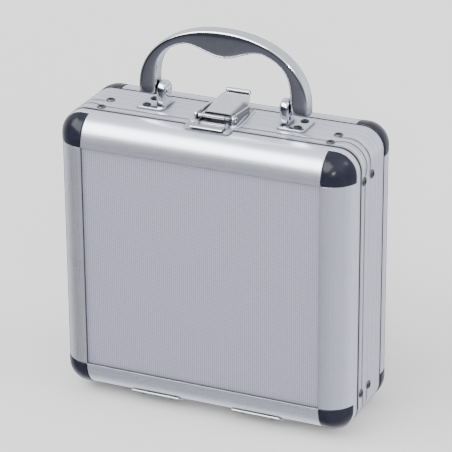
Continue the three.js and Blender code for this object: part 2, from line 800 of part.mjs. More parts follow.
function latchLever() {
  const front = latchPivotY - leverOverhang;
  const back = latchPivotY + leverReach;
  const tabFront = back - leverTabLength;
  const frontZ = top + latchPivotHeight + leverRise;
  const bend = new THREE.SplineCurve([
    new THREE.Vector2(front, frontZ),
    new THREE.Vector2((front + tabFront) / 2, frontZ + leverTabRise / 8),
    new THREE.Vector2(tabFront, frontZ + leverTabRise / 3),
    new THREE.Vector2(back, frontZ + leverTabRise),
  ]).getPoints(arcSteps);
  const upper = bend.map(({ x, y }) => [x, y]);
  const lower = bend.map(({ x, y }) => [x, y - leverThickness]);
  const plate = alongX(outline([...lower, ...upper.reverse()]), -leverWidth / 2, leverWidth / 2);
  const halfTab = leverTabWidth / 2;
  const halfTongue = leverTongueWidth / 2;
  const half = leverWidth / 2;
  const plan = outline([
    [-halfTongue, front - cutOverrun],
    [halfTongue, front - cutOverrun],
    [halfTongue, latchPivotY + leverSlotLength],
    [half, latchPivotY + leverSlotLength],
    [half, tabFront - leverTabLength / 2],
    [halfTab, tabFront],
    [halfTab, back + cutOverrun],
    [-halfTab, back + cutOverrun],
    [-halfTab, tabFront],
    [-half, tabFront - leverTabLength / 2],
    [-half, latchPivotY + leverSlotLength],
    [-halfTongue, latchPivotY + leverSlotLength],
  ]);
  const flange = new THREE.Shape();
  const tailZ = top + latchPivotHeight + leverRise - leverThickness / 2;
  flange.moveTo(latchPivotY, top + latchPivotHeight - leverFlangeRadius);
  flange.lineTo(latchPivotY + leverFlangeLength / 2, top + latchPivotHeight - leverFlangeRadius);
  flange.lineTo(latchPivotY + leverFlangeLength, tailZ - leverFlangeTail);
  flange.lineTo(latchPivotY + leverFlangeLength, tailZ + leverFlangeTail);
  flange.lineTo(latchPivotY, top + latchPivotHeight + leverFlangeRadius);
  flange.absarc(latchPivotY, top + latchPivotHeight, leverFlangeRadius, Math.PI / 2, 3 * Math.PI / 2);
  const flanges = [-1, 1].map((side) => {
    const outer = side * half;
    const inner = side * (half - leverFlange);
    return alongX(flange, Math.min(inner, outer), Math.max(inner, outer));
  });
  const holes = [
    rod([-leverWidth, ...latchPivot], [leverWidth, ...latchPivot], latchPinRadius + fitGap),
    rod([-leverWidth, ...hookPivot], [leverWidth, ...hookPivot], hookPinRadius + fitGap),
  ];
  const bent = plate.intersect(alongZ(plan, top, top + handleRise));
  return join([bent, ...flanges.map((piece) => cut(piece, holes))]);
}

add('latch_lever', latchLever(), chrome);

// Latch hook: a clawed plate on two arms, and the pin that holds it in the lever
const hookUnder = top + keeperThickness + keeperLipHeight + fitGap;

function latchHook() {
  const half = hookWidth / 2;
  const armOuter = leverWidth / 2 - leverFlange - fitGap;
  const plate = block([-half, half], [hookFront, hookBack], [hookUnder, hookUnder + hookThickness]);
  const claw = block(
    [-half, half],
    [hookFront, hookFront + hookClaw],
    [top + keeperThickness + fitGap, hookUnder + hookThickness],
  );
  const [pivotY, pivotZ] = hookPivot;
  const arm = new THREE.Shape();
  arm.moveTo(hookBack - hookArmHeight, pivotZ - hookArmHeight / 2);
  arm.lineTo(pivotY, pivotZ - hookEyeRadius);
  arm.absarc(pivotY, pivotZ, hookEyeRadius, -Math.PI / 2, Math.PI / 2);
  arm.lineTo(hookBack, hookUnder + hookThickness);
  arm.lineTo(hookBack - hookArmHeight, hookUnder + hookThickness);
  const arms = [-1, 1].map((side) => {
    const outer = side * armOuter;
    const inner = side * (armOuter - hookArmThickness);
    return alongX(arm, Math.min(inner, outer), Math.max(inner, outer));
  });
  const pinHole = rod([-leverWidth, ...hookPivot], [leverWidth, ...hookPivot], hookPinRadius + fitGap);
  return join([plate, claw, ...arms.map((piece) => cut(piece, [pinHole]))]);
}

add('latch_hook', latchHook(), chrome);
const hookPinHalf = leverWidth / 2 - fitGap / 2;
const hookPin = rod([-hookPinHalf, ...hookPivot], [hookPinHalf, ...hookPivot], hookPinRadius);
add('latch_hook_pin', hookPin, steel);

// Keeper on the lid, with the lip that the claw pulls on
function latchKeeper() {
  const half = keeperWidth / 2;
  const back = lidDepth - keeperBackInset;
  const plate = alongZ(outline([
    [keeperCorner - half, keeperFront],
    [half - keeperCorner, keeperFront],
    [half, keeperFront + keeperCorner],
    [half, back],
    [-half, back],
    [-half, keeperFront + keeperCorner],
  ]), top - edgeRadius / 2, top + keeperThickness);
  const lipFront = hookFront + hookClaw + fitGap;
  const lip = block(
    [-keeperLipWidth / 2, keeperLipWidth / 2],
    [lipFront, lipFront + keeperLip],
    [top + keeperThickness / 2, top + keeperThickness + keeperLipHeight],
  );
  const rivets = keeperRivetSeats.map((at) => domedPin(
    at, unitZ, smallRivetRadius, keeperThickness + 2 * frameWall, keeperRivetHead, smallRivetHeight,
  ));
  return join([cut(join([plate, lip]), [caseForm(-fitGap)]), ...rivets]);
}

add('latch_keeper', latchKeeper(), chrome);

export default group;
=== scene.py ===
# Miniature carry case: the looks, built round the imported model
# Case coordinates are millimetres: x from the middle, y back from the front, z up from the shell's underside.
import math

import bpy
import numpy as np
from mathutils import Matrix


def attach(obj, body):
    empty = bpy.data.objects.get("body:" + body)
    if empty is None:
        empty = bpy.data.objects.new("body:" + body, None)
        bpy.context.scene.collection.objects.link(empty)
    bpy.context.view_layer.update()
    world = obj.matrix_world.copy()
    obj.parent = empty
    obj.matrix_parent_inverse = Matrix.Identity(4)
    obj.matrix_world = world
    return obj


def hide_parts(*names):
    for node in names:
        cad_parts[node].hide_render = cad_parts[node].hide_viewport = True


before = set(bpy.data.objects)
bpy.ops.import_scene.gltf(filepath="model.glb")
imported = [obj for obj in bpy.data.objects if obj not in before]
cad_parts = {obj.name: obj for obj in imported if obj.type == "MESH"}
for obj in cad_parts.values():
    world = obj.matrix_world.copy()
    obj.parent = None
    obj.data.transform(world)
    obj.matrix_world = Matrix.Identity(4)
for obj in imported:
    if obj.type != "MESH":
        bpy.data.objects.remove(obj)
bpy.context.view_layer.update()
print("frame loaded")

mm = 0.001

# The case's driving sizes, as in the frame
case = {
    "width": 180.0,
    "depth": 73.8,
    "height": 170.6,
    "edge": 16.4,  # radius of the quarter-round edge
    "corner": 13.0,  # corner radius seen from the front
    "panelCorner": 0.8,
    "wall": 1.6,
    "foot": 4.6,
    "lidRim": 16.75,  # where the lid ends
    "baseRim": 18.25,  # where the base begins
    "window": 17.1,  # width of the frame seen from the front
}
caseShift = np.array([0.0, -case["depth"] / 2, case["foot"]])
halfWidth = case["width"] / 2
midHeight = case["height"] / 2
top = case["height"]
sides = (("left", -1), ("right", 1))
ends = (("bottom", -1), ("top", 1))


# The camera, fitted to the case's corners in the photograph
view = {
    "azimuth": 23.95,
    "elevation": 23.74,
    "roll": -0.42,
    "lens": 201.43,
    "at": (0.5397, -1.2139, 0.6916),
}


# A place and three axes as one matrix
def axesAt(right, up, back, spot):
    return Matrix([*map(list, zip(right, up, back, spot)), [0, 0, 0, 1]])


def setCamera():
    azimuth, elevation, roll = (math.radians(view[key]) for key in ("azimuth", "elevation", "roll"))
    sight = np.array([
        -math.sin(azimuth) * math.cos(elevation),
        math.cos(azimuth) * math.cos(elevation),
        -math.sin(elevation),
    ])
    level = np.array([math.cos(azimuth), math.sin(azimuth), 0.0])
    upright = np.cross(level, sight)
    right = math.cos(roll) * level + math.sin(roll) * upright
    up = math.cos(roll) * upright - math.sin(roll) * level
    lensData = bpy.data.cameras.new("photoCamera")
    lensData.lens = view["lens"]
    lensData.sensor_width = 36
    lensData.clip_end = 20
    camera = bpy.data.objects.new("photoCamera", lensData)
    camera.matrix_world = axesAt(right, up, -sight, view["at"])
    bpy.context.scene.collection.objects.link(camera)
    bpy.context.scene.camera = camera


setCamera()
print("camera set")


# Bodies: each is a pair of points and faces, in case coordinates until it is put in the scene

# Quads of a grid of rows by columns, closed on itself either way if asked
def gridQuads(rows, columns, wrapRows=False, wrapColumns=False):
    i, j = np.meshgrid(
        np.arange(rows if wrapRows else rows - 1),
        np.arange(columns if wrapColumns else columns - 1),
        indexing="ij",
    )
    below = (i + 1) % rows
    beside = (j + 1) % columns
    corners = [i * columns + j, i * columns + beside, below * columns + beside, below * columns + j]
    return np.stack(corners, -1).reshape(-1, 4)


# A grid closed both ways, such as a profile carried round the case
def ringBody(grid):
    rows, columns = grid.shape[:2]
    return grid.reshape(-1, 3), [gridQuads(rows, columns, True, True)]


# A stack of closed loops with a flat end at each side
def barBody(grid):
    rows, columns = grid.shape[:2]
    first = np.arange(columns)[::-1][None]
    last = (rows - 1) * columns + np.arange(columns)[None]
    return grid.reshape(-1, 3), [gridQuads(rows, columns, False, True), first, last]


# Two grids of the same shape, joined along their four borders
def slabBody(outer, inner):
    rows, columns = outer.shape[:2]
    count = rows * columns
    face = gridQuads(rows, columns)
    index = np.arange(count).reshape(rows, columns)
    border = np.concatenate([index[0], index[1:, -1], index[-1, -2::-1], index[-2:0:-1, 0]])
    onward = np.roll(border, -1)
    strip = np.stack([onward, border, border + count, onward + count], -1)
    points = np.concatenate([outer.reshape(-1, 3), inner.reshape(-1, 3)])
    return points, [face, face[:, ::-1] + count, strip]


# Six times the volume inside, from the fans of all faces: negative where the faces point inwards
def signedVolume(points, faces):
    total = 0.0
    for block in faces:
        hub = points[block[:, :1]]
        first = points[block[:, 1:-1]]
        second = points[block[:, 2:]]
        total += np.einsum("ijk,ijk->", np.broadcast_to(hub, first.shape), np.cross(first, second))
    return total


def outward(body):
    points, faces = body
    if signedVolume(points - points.mean(0), faces) < 0:
        faces = [block[:, ::-1] for block in faces]
    return points, faces


def joined(bodies):
    points = []
    faces = []
    start = 0
    for body in bodies:
        spots, blocks = outward(body)
        points.append(spots)
        faces.extend(block + start for block in blocks)
        start += len(spots)
    return np.concatenate(points), faces


# Puts bodies in the scene as one piece, riding on a body and standing for a node; layers are point attributes
def putPiece(name, bodies, finish, body, stands=None, sharpAngle=32, **layers):
    points, faces = joined(bodies if isinstance(bodies, list) else [bodies])
    mesh = bpy.data.meshes.new(name)
    sizes = np.concatenate([np.full(len(block), block.shape[1]) for block in faces])
    corners = np.concatenate([block.ravel() for block in faces])
    mesh.vertices.add(len(points))
    mesh.vertices.foreach_set("co", ((points + caseShift) * mm).ravel())
    mesh.loops.add(len(corners))
    mesh.loops.foreach_set("vertex_index", corners.astype(np.int32))
    mesh.polygons.add(len(sizes))
    mesh.polygons.foreach_set("loop_start", (np.cumsum(sizes) - sizes).astype(np.int32))
    mesh.update(calc_edges=True)
    mesh.validate()
    mesh.polygons.foreach_set("use_smooth", np.ones(len(mesh.polygons), bool))
    mesh.set_sharp_from_angle(angle=math.radians(sharpAngle))
    for label, values in layers.items():
        layer = mesh.attributes.new(label, "FLOAT", "POINT")
        values = values(points) if callable(values) else values
        layer.data.foreach_set("value", np.ascontiguousarray(values, float).ravel())
    mesh.materials.append(finish)
    piece = bpy.data.objects.new(name, mesh)
    bpy.context.scene.collection.objects.link(piece)
    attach(piece, body)
    if stands:
        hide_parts(stands)
    return piece


# An outline with rounded corners, an arc touching both sides of each: gives points and outward normals
def roundedPath(corners, radius, steps=5):
    spots = np.asarray(corners, float)
    radii = np.broadcast_to(np.asarray(radius, float), len(spots))
    back = np.roll(spots, 1, 0) - spots
    ahead = np.roll(spots, -1, 0) - spots
    turn = ahead[:, 1] * back[:, 0] - ahead[:, 0] * back[:, 1]
    back = back / np.linalg.norm(back, axis=1, keepdims=True)
    ahead = ahead / np.linalg.norm(ahead, axis=1, keepdims=True)
    half = np.arccos(np.clip((back * ahead).sum(1), -1, 1)) / 2
    middle = back + ahead
    middle = middle / np.linalg.norm(middle, axis=1, keepdims=True)
    centre = spots + middle * (radii / np.sin(half))[:, None]
    reach = (radii / np.tan(half))[:, None]
    start = spots + back * reach - centre
    end = spots + ahead * reach - centre
    angle = np.arctan2(start[:, 1], start[:, 0])
    sweep = np.arctan2(end[:, 1], end[:, 0]) - angle
    sweep = (sweep + math.pi) % (2 * math.pi) - math.pi
    turns = angle[:, None] + sweep[:, None] * np.linspace(0, 1, steps + 1)
    rays = np.stack([np.cos(turns), np.sin(turns)], -1)
    path = centre[:, None] + rays * radii[:, None, None]
    normals = rays * np.sign(-turn)[:, None, None]
    return path.reshape(-1, 2), normals.reshape(-1, 2)


def circlePath(x, y, radius, steps=32):
    turns = np.linspace(0, 2 * math.pi, steps, endpoint=False)
    rays = np.stack([np.cos(turns), np.sin(turns)], -1)
    return rays * radius + [x, y], rays


def boxPath(x0, x1, y0, y1, radius, steps=5):
    return roundedPath([(x0, y0), (x1, y0), (x1, y1), (x0, y1)], radius, steps)


# Offsets and heights of a plate whose upper and lower edges are quarter-rounds
def softLevels(low, high, round, steps=4, lowRound=None):
    turns = np.linspace(0, math.pi / 2, steps + 1)
    under = round if lowRound is None else lowRound
    bottom = np.stack([under * (np.sin(turns) - 1), low + under * (1 - np.cos(turns))], -1)
    upper = np.stack([round * (np.sin(turns) - 1), high - round * (1 - np.cos(turns))], -1)
    return np.concatenate([bottom, upper[::-1]])


# The outline is moved out by each level's offset and set at its height along the axis
def plateBody(outline, levels, axis="z"):
    path, normals = outline
    levels = np.asarray(levels, float)
    flat = path[None] + normals[None] * levels[:, 0, None, None]
    height = np.broadcast_to(levels[:, 1, None], flat.shape[:2])
    order = {
        "z": (flat[..., 0], flat[..., 1], height),
        "x": (height, flat[..., 0], flat[..., 1]),
        "y": (flat[..., 0], height, flat[..., 1]),
    }[axis]
    return barBody(np.stack(order, -1))


# A profile of radii and heights turned about an axis that starts at a point
def turnedBody(profile, at, axis, sides=40):
    radius, height = np.asarray(profile, float).T
    along = np.asarray(axis, float)
    side = np.array([0.0, 0.0, 1.0]) if abs(along[2]) < 0.5 else np.array([1.0, 0.0, 0.0])
    first = np.cross(along, side)
    second = np.cross(along, first)
    turns = np.linspace(0, 2 * math.pi, sides, endpoint=False)
    spokes = np.cos(turns)[:, None] * first + np.sin(turns)[:, None] * second
    grid = radius[:, None, None] * spokes + height[:, None, None] * along + np.asarray(at, float)
    return barBody(grid)


def rodBody(start, end, radius, round=0.15, sides=32):
    start = np.asarray(start, float)
    axis = np.asarray(end, float) - start
    length = np.linalg.norm(axis)
    levels = softLevels(0, length, round, 3)
    return turnedBody([(radius + off, height) for off, height in levels], start, axis / length, sides)


# A domed head over a short skirt: radius falls as a cosine while the height rises as a sine
def domeProfile(radius, height, skirt=0.0, steps=8, buried=0.4):
    turns = np.linspace(0, math.pi / 2 * 0.985, steps + 1)
    dome = [(radius * math.cos(turn), skirt + (height - skirt) * math.sin(turn)) for turn in turns]
    return [(radius * 0.96, -buried), (radius, -buried * 0.8)] + dome


print("helpers ready")


# Finishes

def newMaterial(name, colour, metallic, roughness, **more):
    material = bpy.data.materials.new(name)
    material.use_nodes = True
    shader = material.node_tree.nodes["Principled BSDF"]
    shader.inputs["Base Color"].default_value = (*colour, 1)
    shader.inputs["Metallic"].default_value = metallic
    shader.inputs["Roughness"].default_value = roughness
    for label, value in more.items():
        shader.inputs[label.replace("_", " ")].default_value = value
    return material, material.node_tree, shader


def addNode(tree, kind, values=(), **settings):
    node = tree.nodes.new(kind)
    for key, value in settings.items():
        setattr(node, key, value)
    for key, value in dict(values).items():
        if isinstance(value, bpy.types.NodeSocket):
            tree.links.new(value, node.inputs[key])
        else:
            node.inputs[key].default_value = value
    return node


def mathNode(tree, operation, *values):
    return addNode(tree, "ShaderNodeMath", dict(enumerate(values)), operation=operation).outputs[0]


def attribute(tree, label):
    return addNode(tree, "ShaderNodeAttribute", attribute_name=label).outputs["Fac"]


def mixed(tree, share, first, second, kind="MIX"):
    values = {0: share, 6: first, 7: second}
    return addNode(tree, "ShaderNodeMix", values, data_type="RGBA", blend_type=kind).outputs[2]


# Links values to the shader's sockets, named with underscores
def wire(tree, shader, **sockets):
    for label, value in sockets.items():
        tree.links.new(value, shader.inputs[label.replace("_", " ")])


def spread(tree, value, low, high, start=0.0, end=1.0):
    node = addNode(tree, "ShaderNodeMapRange", {
        "Value": value,
        "From Min": start,
        "From Max": end,
        "To Min": low,
        "To Max": high,
    })
    return node.outputs[0]


def tint(tree, value, dark, light, start=0.0, end=1.0):
    ramp = tree.nodes.new("ShaderNodeValToRGB")
    ramp.color_ramp.elements[0].position = start
    ramp.color_ramp.elements[0].color = (*dark, 1)
    ramp.color_ramp.elements[1].position = end
    ramp.color_ramp.elements[1].color = (*light, 1)
    tree.links.new(value, ramp.inputs[0])
    return ramp.outputs[0]


def noise(tree, place, scale, detail=3.0, roughness=0.55):
    node = addNode(tree, "ShaderNodeTexNoise", {
        "Vector": place,
        "Scale": scale,
        "Detail": detail,
        "Roughness": roughness,
    })
    return node.outputs["Fac"]


def lineNoise(tree, along, scale, detail):
    values = {"W": along, "Scale": scale, "Detail": detail}
    return addNode(tree, "ShaderNodeTexNoise", values, noise_dimensions="1D").outputs[0]


# Painted shade: the colour is darkened where the piece's own shade attribute says so, and where other
# surfaces stand close by
def shaded(tree, colour, reach=0.0, strength=0.8, shadeColour=(0.012, 0.012, 0.016, 1)):
    share = attribute(tree, "crevice")
    if reach:
        openness = addNode(tree, "ShaderNodeAmbientOcclusion", {"Distance": reach}, samples=8).outputs["AO"]
        share = mathNode(tree, "MAXIMUM", share, spread(tree, openness, strength, 0.0, 0.3, 0.95))
    return mixed(tree, share, colour, shadeColour)


def addBump(tree, shader, height, strength, distance):
    bump = addNode(tree, "ShaderNodeBump", {"Height": height, "Strength": strength, "Distance": distance})
    wire(tree, shader, Normal=bump.outputs[0])


def objectPlace(tree, scale=(1, 1, 1)):
    place = tree.nodes.new("ShaderNodeTexCoord").outputs["Object"]
    return addNode(tree, "ShaderNodeMapping", {"Vector": place, "Scale": scale}).outputs[0]


# Satin extruded aluminium: fine draw lines along the profile over a soft mottling, wider ones on the band,
# with painted shade in grooves, seams and near other surfaces
def makeSatinAluminium():
    material, tree, shader = newMaterial("satinAluminium", (0.78, 0.79, 0.84), 0.84, 0.3)
    across = attribute(tree, "across")
    lines = lineNoise(tree, across, 5200.0, 2.0)
    cloud = noise(tree, objectPlace(tree), 55.0)
    both = mathNode(tree, "ADD", spread(tree, lines, 0.0, 0.7), spread(tree, cloud, 0.0, 0.3))
    unshaded = tint(tree, both, (0.76, 0.77, 0.86), (0.825, 0.835, 0.93), 0.3, 0.7)
    wide = spread(tree, lineNoise(tree, across, 760.0, 1.0), 0.0, 0.6, 0.48, 0.62)
    drawn = mathNode(tree, "MULTIPLY", wide, attribute(tree, "ribbed"))
    streaked = mixed(tree, drawn, unshaded, (0.42, 0.43, 0.48, 1))
    wire(tree, shader, Base_Color=shaded(tree, streaked, 0.0025, 0.6),
         Roughness=spread(tree, both, 0.25, 0.34, 0.3, 0.7))
    addBump(tree, shader, mathNode(tree, "ADD", lines, drawn), 0.1, 0.00005)
    return material


# Embossed silver sheet: painted shade makes the valleys between the dots a little darker, and they are duller
# too
def makeTexturedSilver(pitch):
    material, tree, shader = newMaterial("texturedSilver", (0.46, 0.455, 0.54), 0.3, 0.42)
    place = addNode(tree, "ShaderNodeSeparateXYZ", {0: objectPlace(tree)}).outputs
    around = 2 * math.pi / (pitch * mm)
    rise = mathNode(tree, "MULTIPLY", mathNode(tree, "ADD", place["X"], place["Z"]), around)
    fall = mathNode(tree, "MULTIPLY", mathNode(tree, "SUBTRACT", place["X"], place["Z"]), around)
    dots = mathNode(tree, "MULTIPLY", mathNode(tree, "COSINE", rise), mathNode(tree, "COSINE", fall))
    cloud = noise(tree, objectPlace(tree), 900.0)
    both = mathNode(tree, "ADD", spread(tree, dots, 0.0, 0.8, -1.0, 1.0), spread(tree, cloud, 0.0, 0.2))
    unshaded = tint(tree, both, (0.18, 0.176, 0.232), (0.44, 0.432, 0.54))
    wire(tree, shader, Base_Color=shaded(tree, unshaded), Roughness=spread(tree, both, 0.5, 0.38))
    addBump(tree, shader, both, 0.25, 0.00012)
    return material


# Glossy moulded plastic, faintly clouded, with a fine unevenness in its gloss
def makeNavyPlastic():
    material, tree, shader = newMaterial("navyPlastic", (0.012, 0.0127, 0.0205), 0.0, 0.16,
                                         Specular_IOR_Level=0.22)
    cloud = noise(tree, objectPlace(tree), 160.0)
    fine = noise(tree, objectPlace(tree), 1500.0, 2.0)
    unshaded = tint(tree, cloud, (0.009, 0.0095, 0.0155), (0.015, 0.0158, 0.0255), 0.3, 0.7)
    wire(tree, shader, Base_Color=unshaded, Roughness=spread(tree, fine, 0.15, 0.24, 0.3, 0.7))
    addBump(tree, shader, fine, 0.06, 0.00005)
    return material


# Plated metal with painted shade in its corners and near other surfaces: depth says by how much
def makeChrome(name, rough, depth, dark=(0.76, 0.77, 0.82), light=(0.85, 0.86, 0.91)):
    material, tree, shader = newMaterial(name, (0.86, 0.865, 0.88), 1.0, rough)
    cloud = noise(tree, objectPlace(tree), 240.0)
    fine = noise(tree, objectPlace(tree), 2200.0, 2.0)
    unshaded = shaded(tree, tint(tree, cloud, dark, light, 0.3, 0.7), 0.004, depth)
    wire(tree, shader, Base_Color=unshaded, Roughness=spread(tree, fine, rough * 0.6, rough * 1.7, 0.35, 0.65))
    addBump(tree, shader, cloud, 0.05, 0.00008)
    return material


# Mottled steel, with painted shade where its shade attribute says so
def makeSteel(name, metallic, grain, dark, light, rough, bump):
    middle = [(low + high) / 2 for low, high in zip(dark, light)]
    material, tree, shader = newMaterial(name, middle, metallic, sum(rough) / 2)
    cloud = noise(tree, objectPlace(tree), grain)
    unshaded = shaded(tree, tint(tree, cloud, dark, light, 0.3, 0.7))
    wire(tree, shader, Base_Color=unshaded, Roughness=spread(tree, cloud, *rough, 0.3, 0.7))
    addBump(tree, shader, cloud, bump, 0.00005)
    return material


# Dull rubber with a fine grain and a little dust
def makeRubber():
    material, tree, shader = newMaterial("blackRubber", (0.018, 0.018, 0.02), 0.0, 0.7)
    grain = noise(tree, objectPlace(tree), 2600.0)
    dust = noise(tree, objectPlace(tree), 180.0)
    unshaded = tint(tree, dust, (0.014, 0.014, 0.015), (0.035, 0.034, 0.034), 0.35, 0.8)
    wire(tree, shader, Base_Color=unshaded, Roughness=spread(tree, grain, 0.6, 0.82))
    addBump(tree, shader, grain, 0.3, 0.0001)
    return material


# Open-cell foam: small cells as dark pits in a dull grey
def makeFoam():
    material, tree, shader = newMaterial("greyFoam", (0.05, 0.052, 0.058), 0.0, 0.92, Sheen_Weight=0.25)
    values = {"Vector": objectPlace(tree), "Scale": 1500.0}
    cells = addNode(tree, "ShaderNodeTexVoronoi", values).outputs["Distance"]
    cloud = noise(tree, objectPlace(tree), 120.0)
    both = mathNode(tree, "ADD", spread(tree, cells, 0.7, 0.0), spread(tree, cloud, 0.0, 0.3))
    wire(tree, shader, Base_Color=tint(tree, both, (0.018, 0.019, 0.022), (0.075, 0.077, 0.085), 0.15, 0.85))
    addBump(tree, shader, cells, 0.6, 0.0003)
    return material


emboss = {"pitch": 2.5, "height": 0.14}
satinAluminium = makeSatinAluminium()
texturedSilver = makeTexturedSilver(emboss["pitch"])
navyPlastic = makeNavyPlastic()
brightChrome = makeChrome("brightChrome", 0.08, 0.9)
latchChrome = makeChrome("latchChrome", 0.18, 0.5, (0.88, 0.89, 0.94), (0.95, 0.96, 1.0))
softChrome = makeChrome("softChrome", 0.24, 0.5, (0.50, 0.51, 0.56), (0.62, 0.63, 0.68))
zincSteel = makeSteel("zincSteel", 1.0, 600.0, (0.44, 0.45, 0.46), (0.66, 0.67, 0.68), (0.26, 0.42), 0.1)
dullSteel = makeSteel("dullSteel", 0.9, 700.0, (0.10, 0.103, 0.11), (0.24, 0.245, 0.255), (0.24, 0.4), 0.12)
blackRubber = makeRubber()
greyFoam = makeFoam()
print("finishes ready")


# The two frames: one closed profile carried round a rounded rectangle

notch = {
    "edge": 17.25,  # where the frame stops, in from both outer faces
    "cap": 17.0,  # where the cap starts
    "capCorner": 0.35,  # the cap's corner radius next to the panel
    "sink": 1.0,  # how far the frame drops under a cap
    "round": 0.22,  # rounding of the frame's cut edge
}


# Columns round the case. Along a straight side the place is fixed; round a corner it follows the arc.
# Each column holds six factors: x = a (side - r) + b r + c, and the same for z.
def perimeterColumns(arcSteps=20, sideSteps=14):
    halfX = halfWidth - notch["edge"]
    halfZ = midHeight - notch["edge"]
    cut = np.array([0.0, 0.05, 0.12, notch["round"], 1.5, 3.0])
    turns = np.linspace(0, math.pi / 2, arcSteps + 1)
    columns = []
    for k, half in enumerate((halfX, halfZ, halfX, halfZ)):
        inside = np.linspace(-half + 4.8, half - 4.8, sideSteps)
        spots = np.concatenate([[-half - 0.01], -half + cut, inside, (half - cut)[::-1], [half + 0.01]])
        along = spots * (1 if k in (0, 1) else -1)
        zero = np.zeros_like(along)
        one = np.full_like(along, (-1, 1, 1, -1)[k])
        level = (zero, zero, along, one, one, zero)
        upright = (one, one, zero, zero, zero, along)
        columns.append(np.stack(level if k in (0, 2) else upright))
        angle = turns + (k - 1) * math.pi / 2
        middle = (k - 1) * math.pi / 2 + math.pi / 4
        signX = np.full_like(angle, np.sign(math.cos(middle)))
        signZ = np.full_like(angle, np.sign(math.sin(middle)))
        flat = np.zeros_like(angle)
        columns.append(np.stack((signX, np.cos(angle), flat, signZ, np.sin(angle), flat)))
    return np.concatenate(columns, 1)


# x and z of every ring: the side and end close in by the reach, and the corners have that ring's radius
def ringGrid(columns, reach, radius):
    a, b, c, d, e, f = (row[None] for row in columns)
    reach = reach if reach.ndim == 2 else reach[:, None]
    radius = radius if radius.ndim == 2 else radius[:, None]
    sideX = halfWidth - reach
    sideZ = midHeight - reach
    return a * (sideX - radius) + b * radius + c, midHeight + d * (sideZ - radius) + e * radius + f


# Reach, depth and corner radius along the quarter-round, taken in by an inset
def roundRings(angle, inset):
    round = case["edge"] - inset
    reach = inset + round * (1 - np.sin(angle))
    depth = inset + round * (1 - np.cos(angle))
    radius = case["panelCorner"] + (case["corner"] - inset - case["panelCorner"]) * np.sin(angle)
    return reach, depth, radius


# 1 over a cap's place and 0 elsewhere, easing off along the cut edge
def cornerShare(columns, cornerRow, depth, capDepth):
    x, z = ringGrid(columns, np.zeros(1), np.full(1, 0.01))
    fromX = halfWidth - notch["edge"] - np.abs(x)
    fromZ = midHeight - notch["edge"] - np.abs(z - midHeight)
    aside = np.maximum(fromX, fromZ)
    away = np.maximum(aside, (depth - capDepth)[:, None])
    reach = np.clip(away / notch["round"], 0, 1)
    eased = (1 - np.sqrt(1 - (1 - reach) ** 2)) * notch["round"] / notch["sink"]
    return np.where(away <= 0, 1.0, eased) * cornerRow[:, None]


# 1 round a corner, easing to 0 along the straight sides
def cornerNear(columns, start=22.0, end=13.5):
    x, z = ringGrid(columns, np.zeros(1), np.full(1, case["corner"]))
    away = np.maximum(halfWidth - np.abs(x), midHeight - np.abs(z - midHeight))[0]
    share = np.clip((start - away) / (start - end), 0, 1)
    return share * share * (3 - 2 * share)


def profileTable(parts):
    return [np.concatenate(column) for column in zip(*parts)]


def flatPart(inset, depths):
    depths = np.asarray(depths, float)
    inset = np.broadcast_to(np.asarray(inset, float), depths.shape)
    return inset, depths, case["corner"] - inset


# The profile's rows carried round the case, sunk under the caps: fromFace is a row's depth from its own
# flat face, and turn is 1 where that face is the front and -1 where it is the back
def frameGrid(columns, rows, fromFace, outerRow, capDepth, turn, shift=0.0, dent=0.0):
    reach, depth, radius = rows
    angle = np.arccos(np.clip(1 - fromFace / case["edge"], 0, 1))
    sunkReach, sunkDepth, sunkRadius = roundRings(angle, notch["sink"])
    sunk = np.where(fromFace > case["edge"], fromFace, sunkDepth)
    weight = cornerShare(columns, outerRow, fromFace, capDepth)
    x0, z0 = ringGrid(columns, reach[:, None] + dent, radius[:, None] - dent)
    x1, z1 = ringGrid(columns, sunkReach, sunkRadius)
    y = depth[:, None] + turn * (sunk - fromFace)[:, None] * weight + shift
    return np.stack([x0 + (x1 - x0) * weight, y, z0 + (z1 - z0) * weight], -1)


# Metres run along the profile, for the draw lines
def runAlong(reach, depth):
    place = np.stack([reach, depth], -1)
    step = np.linalg.norm(np.diff(place, axis=0, prepend=place[:1]), axis=1)
    return np.cumsum(step)[:, None] * mm


def putFrame(name, grid, body, stands, rows, crevice, **layers):
    across = np.broadcast_to(runAlong(*rows[:2]), grid.shape[:2])
    putPiece(name, ringBody(grid), satinAluminium, body, stands, 40, across=across,
             crevice=np.broadcast_to(crevice, grid.shape[:2]), **layers)


rimEdge = 0.3  # rounding of both rims
lipEdge = 0.2  # rounding of the lips that hold the panels
lipCorner = 0.13


